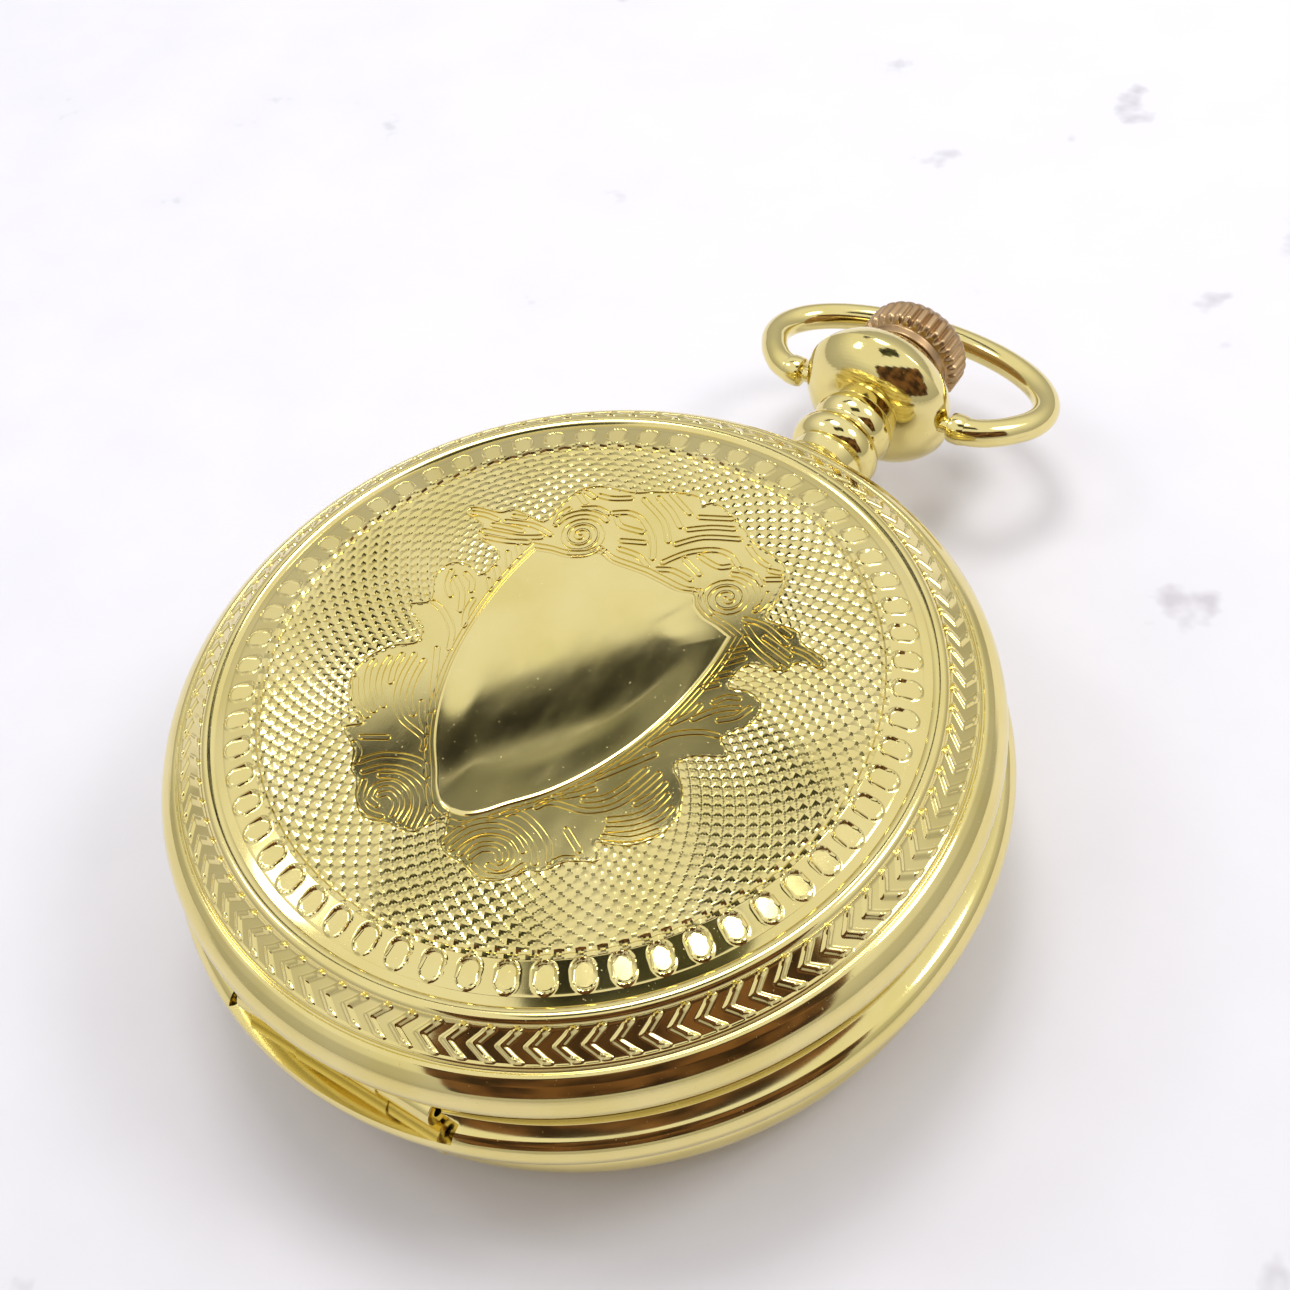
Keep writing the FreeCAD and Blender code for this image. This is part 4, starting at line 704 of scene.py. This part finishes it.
def flip_to_back(piece):
    """Mirrors a piece of the front cover to the back one."""
    piece.data.transform(Matrix.Translation((0, 0, THICK * MM)) @ Matrix.Scale(-1, 4, (0, 0, 1)))
    piece.data.flip_normals()


def set_cover(parts, node, body):
    """Puts a cover's pieces in the place of its CAD node."""
    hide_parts(node)
    for part in parts:
        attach(part, body)


front_parts = cover_pieces("cover_front", GOLD, plain_share)
border_lines = [shield_outline() * 1.03, shield_outline() * 1.07, plain_outline()]
front_parts += [
    middle_disc("cover_front", FIELD_FLOOR, GOLD), shield("cover_front", SHIELD_GOLD),
    raised_lines("cover_front_scrollwork", mirrored(scrollwork()), 0.055, 0.11, GOLD),
    raised_lines("cover_front_line", border_lines, 0.055, 0.10, GOLD),
]
set_cover(front_parts, "front_cover", "front_lid")

back_parts = cover_pieces("cover_back", GOLD, no_plain, BACK_INSET)
back_parts += [middle_disc("cover_back", FIELD_FLOOR, GOLD), monogram_round("cover_back", GOLD)]
for piece in back_parts:
    flip_to_back(piece)
set_cover(back_parts, "back_cover", "back_lid")

# ---- the case band ----

CASE_HALF = [
    (20.6, 4.5), (20.9, 4.5), (20.9, 5.45), (21.55, 5.45), (22.2, 5.8), (22.2, 6.8), (22.75, 7.1, 1.18),
    (22.75, 9.3), (22.2, 9.6), (22.2, 10.6), (22.35, 10.95), (21.7, 10.95), (21.7, 11.9), (20.7, 11.9),
    (20.7, 11.2), (20.0, 11.2), (20.0, 6.4), (20.6, 6.4),
]


def case_band():
    """The band between the covers, its hinge rooms, its knuckles and the pendant's seat."""
    band = lathe("case_band", fillet([(*spot[:2], 0.05) for spot in bulged(CASE_HALF)], 3), GOLD, 480)
    rooms = []
    for low, height in ((8.7, HINGE_Z), (4.4, THICK - HINGE_Z)):
        rooms.append(box_piece("Room", (-7.4, -25.3, low), (7.4, -HINGE_Y, low + 3.3), GOLD))
        rooms.append(turned_x("Socket", 1.0, -KNUCKLE_IN, KNUCKLE_IN, height))
    rooms += hinge_cones(HINGE_Z + 0.6) + hinge_cones(THICK - HINGE_Z - 0.6)
    seat = rod("Seat", 3.15, 3, 0.02, GOLD, 96)
    turn_along(seat, (0, 1, 0), (0, 22.9, AXIS_Z))
    stem_way = rod("StemWay", 0.95, 8, 0.02, GOLD)
    turn_along(stem_way, (0, 1, 0), (0, 17, AXIS_Z))
    carve(band, rooms + [seat, stem_way], 35)
    knuckles = []
    for height in (HINGE_Z, THICK - HINGE_Z):
        for low, high in ((KNUCKLE_IN, KNUCKLE_OUT), (-KNUCKLE_OUT, -KNUCKLE_IN)):
            barrel = turned_x("case_knuckle", KNUCKLE_R, low, high, height, 0.06)
            carve(barrel, [turned_x("Bore", 0.4, low - 1, high + 1, height)], 40)
            knuckles.append(barrel)
    return joined("case_middle_band", [band] + knuckles)


def turned_x(name, radius, low, high, height, edge=0.02):
    piece = rod(name, radius, high - low, edge, GOLD, 64)
    turn_along(piece, (1, 0, 0), (low, -HINGE_Y, height))
    return piece


case = case_band()
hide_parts("case_middle")
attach(case, "case")

dust_line = fillet([
    (0.02, 2.9), (18.0, 2.9, 0.1), (18.1, 2.98, 0.05), (18.5, 2.98, 0.05), (18.6, 2.9, 0.1),
    (19.85, 2.9, 0.3), (20.5, 3.5, 0.3), (20.55, 5.0, 0.1), (20.2, 5.0, 0.1), (20.2, 3.7, 0.1),
    (19.8, 3.3, 0.2), (0.02, 3.3),
])
dust = lathe("dust_lid", dust_line, GOLD, 300, closed=False)
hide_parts("dust_cover")
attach(dust, "case")

bezel_line = fillet([
    (20.75, 11.95, 0.04), (21.45, 11.95, 0.05), (21.45, 12.6, 0.15), (21.15, 13.0, 0.3), (20.55, 13.5, 0.3),
    (18.9, 14.35, 0.3), (18.5, 14.52, 0.08), (18.08, 14.52, 0.05), (18.08, 13.75, 0.02), (17.6, 13.75, 0.02),
    (17.6, 13.2, 0.02), (19.6, 12.5, 0.2), (20.75, 12.5, 0.03), (20.75, 12.0),
], 4)
bezel = lathe("glass_bezel", bezel_line, GOLD, 360)
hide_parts("bezel")
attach(bezel, "case")

# ---- pendant, bow and crown ----

PENDANT_LINE = [
    (0.95, 22.95), (3.1, 22.95), (3.1, 23.7, 1.6), (2.35, 25.2), (2.35, 26.1, 1.277), (2.35, 28.2),
    (2.35, 28.5, 1.377), (2.35, 30.2), (2.7, 30.3, 3.2), (5.1, 32.5, 3.6), (3.5, 34.9), (2.1, 34.9),
    (2.1, 32.4), (0.95, 32.4),
]
BOW_Y = 32.3
BOW_HALF, BOW_HIGH, BOW_SHIFT, BOW_WIRE = 9.6, 5.67, 4.31, 0.88
FOOT_TOP = 2.4
BOW_DROOP = math.radians(-14.7)

pendant = lathe("pendant_neck", fillet([(*spot[:2], 0.05) for spot in bulged(PENDANT_LINE)], 3), GOLD, 240)
turn_along(pendant, (0, 1, 0), (0, 0, AXIS_Z))
pegs = []
for side in (1, -1):
    peg_hole = rod("PegHole", 0.56, 3.2, 0.02, GOLD)
    turn_along(peg_hole, (side, 0, 0), (side * 2.9, BOW_Y, AXIS_Z))
    pegs.append(peg_hole)
carve(pendant, pegs, 35)
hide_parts("pendant")
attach(pendant, "case")


def bow_piece():
    """The bow's elliptical wire on straight feet, with a collar at each end."""
    first = math.asin((FOOT_TOP - BOW_SHIFT) / BOW_HIGH)
    turns = np.linspace(first, math.pi / 2, 60)
    arch = np.stack([BOW_HALF * np.cos(turns), BOW_SHIFT + BOW_HIGH * np.sin(turns)], axis=1)
    foot = smooth_line([(6.0, 0), (6.5, 0.03), (7.4, 0.47), (8.35, 1.38), tuple(arch[0])], steps=6)[:-1]
    half = np.concatenate([foot, arch])
    path = np.concatenate([half, half[:-1][::-1] * [-1, 1]])
    wire = tube("bow_wire", np.column_stack([path, np.zeros(len(path))]), BOW_WIRE, GOLD, 36)
    parts = [wire]
    for side in (1, -1):
        line = [(0.02, 3.4), (0.4, 3.4), (0.5, 3.5), (0.5, 5.38), (0.8, 5.38), (0.93, 5.46), (0.98, 5.62),
                (0.98, 6.2), (0.9, 6.5), (0.02, 6.6)]
        knob = lathe("bow_end", line, GOLD, 48, closed=False)
        turn_along(knob, (side, 0, 0), (0, 0, 0))
        parts.append(knob)
    bow = joined("bow_ring", parts)
    place = Matrix.Translation(Vector((0, BOW_Y, AXIS_Z)) * MM)
    bow.data.transform(place @ Matrix.Rotation(BOW_DROOP, 4, "X"))
    return bow


bow = bow_piece()
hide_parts("bow")
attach(bow, "bow")

CROWN_METAL = polished_metal(
    "crown_metal", (0.40, 0.26, 0.13), (0.50, 0.34, 0.18), 0.26, 0.40, grain=0.6, dust=0.2, bump=0.15)
FLUTES = 30


def crown_piece():
    """The fluted knob with its pipe; the flutes fade out on the rounded end."""
    line = fillet([
        (0.8, 32.9), (1.9, 32.9, 0.1), (1.9, 35.6, 0.05), (2.95, 35.6, 0.12), (2.95, 36.2, 0.1),
        (3.3, 36.35, 0.1), (3.55, 36.6, 0.15), (3.55, 37.1), (3.55, 37.5), (3.55, 37.9, 0.2),
        (3.2, 38.4, 0.3), (2.7, 38.62, 0.3), (2.2, 38.7, 0.1), (1.3, 38.78, 0.1), (0.02, 38.8),
    ], 5)
    line = np.concatenate([line, [(0.02, 37.7), (0.8, 37.7)]])
    segments = FLUTES * 16
    points = lathe_points(line, segments).reshape(len(line), segments, 3)
    turns = np.arange(segments) * FULL_TURN / segments
    hollow = np.abs(np.cos(turns * FLUTES / 2)) ** 5
    for row, (radius, height) in enumerate(line):
        depth = 0.24 * smooth_step(2.9, 3.4, radius) * (height > 36.25)
        points[row, :, :2] *= (1 - depth * hollow / max(radius, 0.1))[:, None]
    faces = strip_faces(len(line), segments, closed_rows=True)
    crown = new_piece("crown_knob", points.reshape(-1, 3), faces, CROWN_METAL, 30)
    turn_along(crown, (0, 1, 0), (0, 0, AXIS_Z))
    return crown


crown = crown_piece()
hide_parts("crown")
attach(crown, "crown")

# ---- dial and crystal ----

DIAL_TOP = 12.3
SINK = (9.5, 0.0)
SINK_R = 3.7


def enamel(name, colour, rough):
    material, nodes, links, shader = new_material(name)
    cloud = noise_node(nodes, links, 0.5, 5)
    shaded = tuple(0.93 * part for part in colour)
    tint = ramp_node(nodes, links, cloud.outputs["Fac"], [(0.3, colour), (0.75, shaded)])
    links.new(tint.outputs["Color"], shader.inputs["Base Color"])
    shader.inputs["Roughness"].default_value = rough
    shader.inputs["Coat Weight"].default_value = 0.4
    fine = noise_node(nodes, links, 5.0, 4)
    bump_node(nodes, links, shader, fine.outputs["Fac"], 0.08, 0.01)
    return material


ENAMEL = enamel("enamel_white", (0.86, 0.84, 0.78), 0.18)
INK = enamel("enamel_black", (0.02, 0.02, 0.025), 0.3)


def flat_prism(outlines, low, high):
    """Points and faces of flat prisms from outlines in the plane."""
    points, faces = [], []
    for outline in outlines:
        base, count = len(points), len(outline)
        points += [(x, y, z) for z in (low, high) for x, y in outline]
        faces.append(tuple(base + index for index in reversed(range(count))))
        faces.append(tuple(base + count + index for index in range(count)))
        for index in range(count):
            after = (index + 1) % count
            faces.append((base + index, base + after, base + count + after, base + count + index))
    return points, faces


def bar(start, end, half):
    start, end = np.array(start, dtype=float), np.array(end, dtype=float)
    way = (end - start) / np.linalg.norm(end - start)
    side = np.array([-way[1], way[0]]) * half
    return [start - side, end - side, end + side, start + side]


NUMERALS = ["I", "II", "III", "IIII", "V", "VI", "VII", "VIII", "IX", "X", "XI", "XII"]
GLYPH_WIDTHS = {"I": 0.62, "V": 1.5, "X": 1.5}
HIGH = 2.6
NUMERAL_R = 14.9
THICK_BAR, THIN_BAR = 0.16, 0.06


def glyph(letter, middle):
    half = GLYPH_WIDTHS[letter] / 2 - 0.12
    top, low = HIGH / 2, -HIGH / 2
    serif = [bar((middle - half - 0.1, edge), (middle + half + 0.1, edge), 0.05) for edge in (top, low)]
    if letter == "I":
        return [bar((middle, low), (middle, top), 0.15)] + serif
    falling = bar((middle - half, top), (middle, low) if letter == "V" else (middle + half, low), THICK_BAR)
    rising = bar((middle + half, top), (middle, low) if letter == "V" else (middle - half, low), THIN_BAR)
    return [falling, rising] + (serif[:1] if letter == "V" else serif)


def numeral(text, hour):
    """Outlines of a Roman numeral, its top towards the rim."""
    width = sum(GLYPH_WIDTHS[letter] for letter in text)
    bars, at = [], -width / 2
    for letter in text:
        bars += glyph(letter, at + GLYPH_WIDTHS[letter] / 2)
        at += GLYPH_WIDTHS[letter]
    way = math.radians(180 - 30 * hour)
    out, along = np.array([math.cos(way), math.sin(way)]), np.array([math.sin(way), -math.cos(way)])
    return [[tuple(out * (NUMERAL_R + y) + along * x) for x, y in outline] for outline in bars]


def ticks(centre, inner, outer, count, half, long_every=0, long_inner=0):
    marks = []
    for index in range(count):
        way = index * FULL_TURN / count
        low = long_inner if long_every and index % long_every == 0 else inner
        direction = np.array([math.cos(way), math.sin(way)])
        marks.append(bar(np.array(centre) + direction * low, np.array(centre) + direction * outer, half))
    return marks


def dial_pieces():
    """The enamel plate with its sunk seconds, and everything printed on it."""
    line = fillet([(1.5, 11.9), (19.4, 11.9, 0.05), (19.4, 12.28, 0.12), (1.5, DIAL_TOP)])
    plate = lathe("dial_plate", line, ENAMEL, 300)
    hole = rod("Sink", SINK_R, 1, 0.02, ENAMEL, 160)
    turn_along(hole, (0, 0, 1), (*SINK, DIAL_TOP - 0.12))
    pivot = rod("Pivot", 0.45, 2, 0.02, ENAMEL)
    turn_along(pivot, (0, 0, 1), (*SINK, 11.2))
    carve(plate, [hole, pivot], 30)
    marks = [outline for hour in range(1, 13) if hour != 6 for outline in numeral(NUMERALS[hour - 1], hour)]
    marks += ticks((0, 0), 18.0, 18.5, 60, 0.05, 5, 17.7)
    points, faces = flat_prism(marks, DIAL_TOP - 0.03, DIAL_TOP + 0.02)
    print_piece = new_piece("dial_figures", points, faces, INK)
    small = ticks(SINK, 2.9, 3.3, 60, 0.03, 5, 2.6)
    points, faces = flat_prism(small, DIAL_TOP - 0.15, DIAL_TOP - 0.1)
    small_piece = new_piece("dial_seconds", points, faces, INK)
    rings = []
    tracks = [
        ("dial_track", (0, 0), 18.55, DIAL_TOP), ("dial_track_in", (0, 0), 17.95, DIAL_TOP),
        ("dial_small_track", SINK, 3.34, DIAL_TOP - 0.12),
    ]
    for name, centre, radius, level in tracks:
        outer, low, high = radius + 0.07, level - 0.03, level + 0.02
        track = lathe(name, [(radius, low), (outer, low), (outer, high), (radius, high)], INK, 240)
        turn_along(track, (0, 0, 1), (*centre, 0))
        rings.append(track)
    return plate, joined("dial_print", [print_piece, small_piece] + rings)


dial_plate, dial_print = dial_pieces()
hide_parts("dial")
for piece in (dial_plate, dial_print):
    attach(piece, "case")

glass, glass_nodes, glass_links, glass_shader = new_material("crystal_glass")
glass_shader.inputs["Base Color"].default_value = (0.97, 0.985, 0.99, 1)
glass_shader.inputs["Transmission Weight"].default_value = 1
glass_shader.inputs["IOR"].default_value = 1.47
glass_haze = noise_node(glass_nodes, glass_links, 0.8, 5)
glass_rough = ramp_node(glass_nodes, glass_links, glass_haze.outputs["Fac"], [(0.4, 0.01), (0.8, 0.04)])
glass_links.new(glass_rough.outputs["Color"], glass_shader.inputs["Roughness"])
glass_scratch = noise_node(glass_nodes, glass_links, 2.0, 8, (5, 0.5, 1))
bump_node(glass_nodes, glass_links, glass_shader, glass_scratch.outputs["Fac"], 0.02, 0.01)

dome_top = [(18 * share, 15.3 - 1.0 * share ** 2) for share in np.linspace(0.98, 0.001, 24)]
dome_low = [(17.6 * share, 14.6 - 0.85 * share ** 2) for share in np.linspace(0.001, 0.98, 24)]
crystal_line = [(17.5, 13.82), (17.92, 13.82), (18.0, 13.9), (18.0, 14.2)] + dome_top
crystal = lathe("crystal_dome", dome_low + crystal_line, glass, 240, closed=False)
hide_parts("crystal")
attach(crystal, "case")

# ---- the movement: the CAD pieces with their own finishes ----

GILT = polished_metal("gilt_frosted", (0.72, 0.52, 0.22), (0.80, 0.62, 0.30), 0.30, 0.42, 0.8, 0.2, 0.3)
WHEEL = polished_metal("wheel_brass", (0.70, 0.52, 0.22), (0.82, 0.64, 0.30), 0.16, 0.28, 0.9, 0.1, 0.2)
STEEL = polished_metal("steel_polished", (0.55, 0.55, 0.57), (0.68, 0.68, 0.70), 0.14, 0.26, 0.9, 0.2, 0.2)
BLUED = polished_metal("steel_blued", (0.02, 0.04, 0.22), (0.05, 0.08, 0.36), 0.12, 0.22, 0.7, 0.1, 0.1)

ruby, ruby_nodes, ruby_links, ruby_shader = new_material("ruby")
ruby_cloud = noise_node(ruby_nodes, ruby_links, 2.0, 4)
ruby_tint = ramp_node(ruby_nodes, ruby_links, ruby_cloud.outputs["Fac"],
                      [(0.3, (0.55, 0.01, 0.06)), (0.7, (0.75, 0.04, 0.14))])
ruby_links.new(ruby_tint.outputs["Color"], ruby_shader.inputs["Base Color"])
ruby_shader.inputs["Roughness"].default_value = 0.05
ruby_shader.inputs["IOR"].default_value = 1.76
ruby_shader.inputs["Transmission Weight"].default_value = 0.5

FINISHES = {"gilt_brass": GILT, "wheel_brass": WHEEL, "steel": STEEL, "blued_steel": BLUED, "ruby": ruby,
            "gold_plate": GOLD, "crown_metal": CROWN_METAL, "crystal": glass, "enamel_dial": ENAMEL}
for part in frame["record"]["subparts"]:
    node = NODES[part["node"]]
    node.data.materials.clear()
    node.data.materials.append(FINISHES[part["material_slot"]])

# ---- stage, light and camera ----

floor_material, floor_nodes, floor_links, floor_shader = new_material("studio_floor")
floor_cloud = noise_node(floor_nodes, floor_links, 0.11, 4)
floor_tint = ramp_node(floor_nodes, floor_links, floor_cloud.outputs["Fac"],
                       [(0.27, (0.62, 0.60, 0.65)), (0.33, (0.82, 0.81, 0.86)), (0.7, (0.85, 0.84, 0.89))])
floor_links.new(floor_tint.outputs["Color"], floor_shader.inputs["Base Color"])
floor_shader.inputs["Roughness"].default_value = 0.7
floor = box_piece("studio_floor", (-900, -900, -2), (900, 900, 0), floor_material)

# The camera's place in millimetres, and its right, up and backward directions.
CAMERA_SPOT = Vector((44.446, -42.096, 92.395))
CAMERA_AXES = [(0.82343, 0.55457, -0.12004), (-0.37416, 0.68974, 0.61989), (0.42657, -0.46552, 0.77546)]
CAMERA_LENS, CAMERA_SENSOR = 51.75, 36
right, up, back = (Vector(axis) for axis in CAMERA_AXES)


def area_light(name, spot, target, wide, power):
    light = bpy.data.lights.new(name, "AREA")
    light.shape = "DISK"
    light.size = wide * MM
    light.energy = power
    lamp = bpy.data.objects.new(name, light)
    lamp.location = Vector(spot) * MM
    lamp.rotation_euler = (Vector(spot) - Vector(target)).to_track_quat("Z", "Y").to_euler()
    bpy.context.scene.collection.objects.link(lamp)


def reflected_card(name, spot, target, wide, high, colour):
    """A card that the polished metal mirrors."""
    material, nodes, links, shader = new_material(name)
    cloud = noise_node(nodes, links, 0.012, 3)
    dim = tuple(0.15 * part for part in colour)
    tint = ramp_node(nodes, links, cloud.outputs["Fac"], [(0.42, dim), (0.6, colour)])
    links.new(tint.outputs["Color"], shader.inputs["Base Color"])
    shader.inputs["Roughness"].default_value = 1
    card = box_piece(name, (-wide / 2, -high / 2, -1), (wide / 2, high / 2, 0), material)
    card.location = Vector(spot) * MM
    card.rotation_euler = (Vector(target) - Vector(spot)).to_track_quat("Z", "Y").to_euler()


WATCH_MIDDLE = Vector((0, 0, 10))
COVER_MIDDLE = (0, 0, 16)

# Round lights: name, direction from the watch, distance, width and power in watts.
LIGHTS = [
    ("key", (-0.20, 0.28, 0.94), 400, 140, 0.40),
    ("side", (0.50, 0.38, 0.75), 400, 130, 0.32),
    ("back", (-0.62, -0.15, 0.75), 420, 80, 0.10),
]
# Cards: name, place, what they face, width, height and colour.
CARDS = [
    ("dark_card_camera", (185, -205, 190), WATCH_MIDDLE, 540, 290, (0.26, 0.12, 0.05)),
    ("dark_card_zenith", (20, -26, 330), WATCH_MIDDLE, 150, 90, (0.12, 0.12, 0.06)),
    ("dark_card_far", (-134, 117, 246), COVER_MIDDLE, 130, 15, (0.03, 0.03, 0.025)),
    ("dark_card_mid", (-124, 107, 262), COVER_MIDDLE, 130, 24, (0.62, 0.64, 0.56)),
]
for name, way, distance, wide, power in LIGHTS:
    area_light(name, WATCH_MIDDLE + distance * Vector(way), WATCH_MIDDLE, wide, power)
for card in CARDS:
    reflected_card(*card)

world = bpy.data.worlds.new("studio")
bpy.context.scene.world = world
world.use_nodes = True
sky_nodes, sky_links = world.node_tree.nodes, world.node_tree.links
sky_place = sky_nodes.new("ShaderNodeTexCoord")
sky_parts = sky_nodes.new("ShaderNodeSeparateXYZ")
sky_links.new(sky_place.outputs["Generated"], sky_parts.inputs["Vector"])
SKY_BRIGHT = (0.98, 0.98, 1.0)
sky = ramp_node(sky_nodes, sky_links, sky_parts.outputs["Z"],
                [(0.0, (0.50, 0.49, 0.50)), (0.3, (0.62, 0.61, 0.62)), (0.62, SKY_BRIGHT), (1.0, SKY_BRIGHT)])
sky_links.new(sky.outputs["Color"], sky_nodes["Background"].inputs["Color"])
bpy.context.scene.view_settings.view_transform = "Standard"

camera = bpy.data.cameras.new("photo_camera")
camera.lens = CAMERA_LENS
camera.sensor_width = CAMERA_SENSOR
camera.clip_start = 0.001
lens = bpy.data.objects.new("photo_camera", camera)
lens.matrix_world = Matrix((
    (right.x, up.x, back.x, CAMERA_SPOT.x * MM), (right.y, up.y, back.y, CAMERA_SPOT.y * MM),
    (right.z, up.z, back.z, CAMERA_SPOT.z * MM), (0, 0, 0, 1),
))
bpy.context.scene.collection.objects.link(lens)
bpy.context.scene.camera = lens
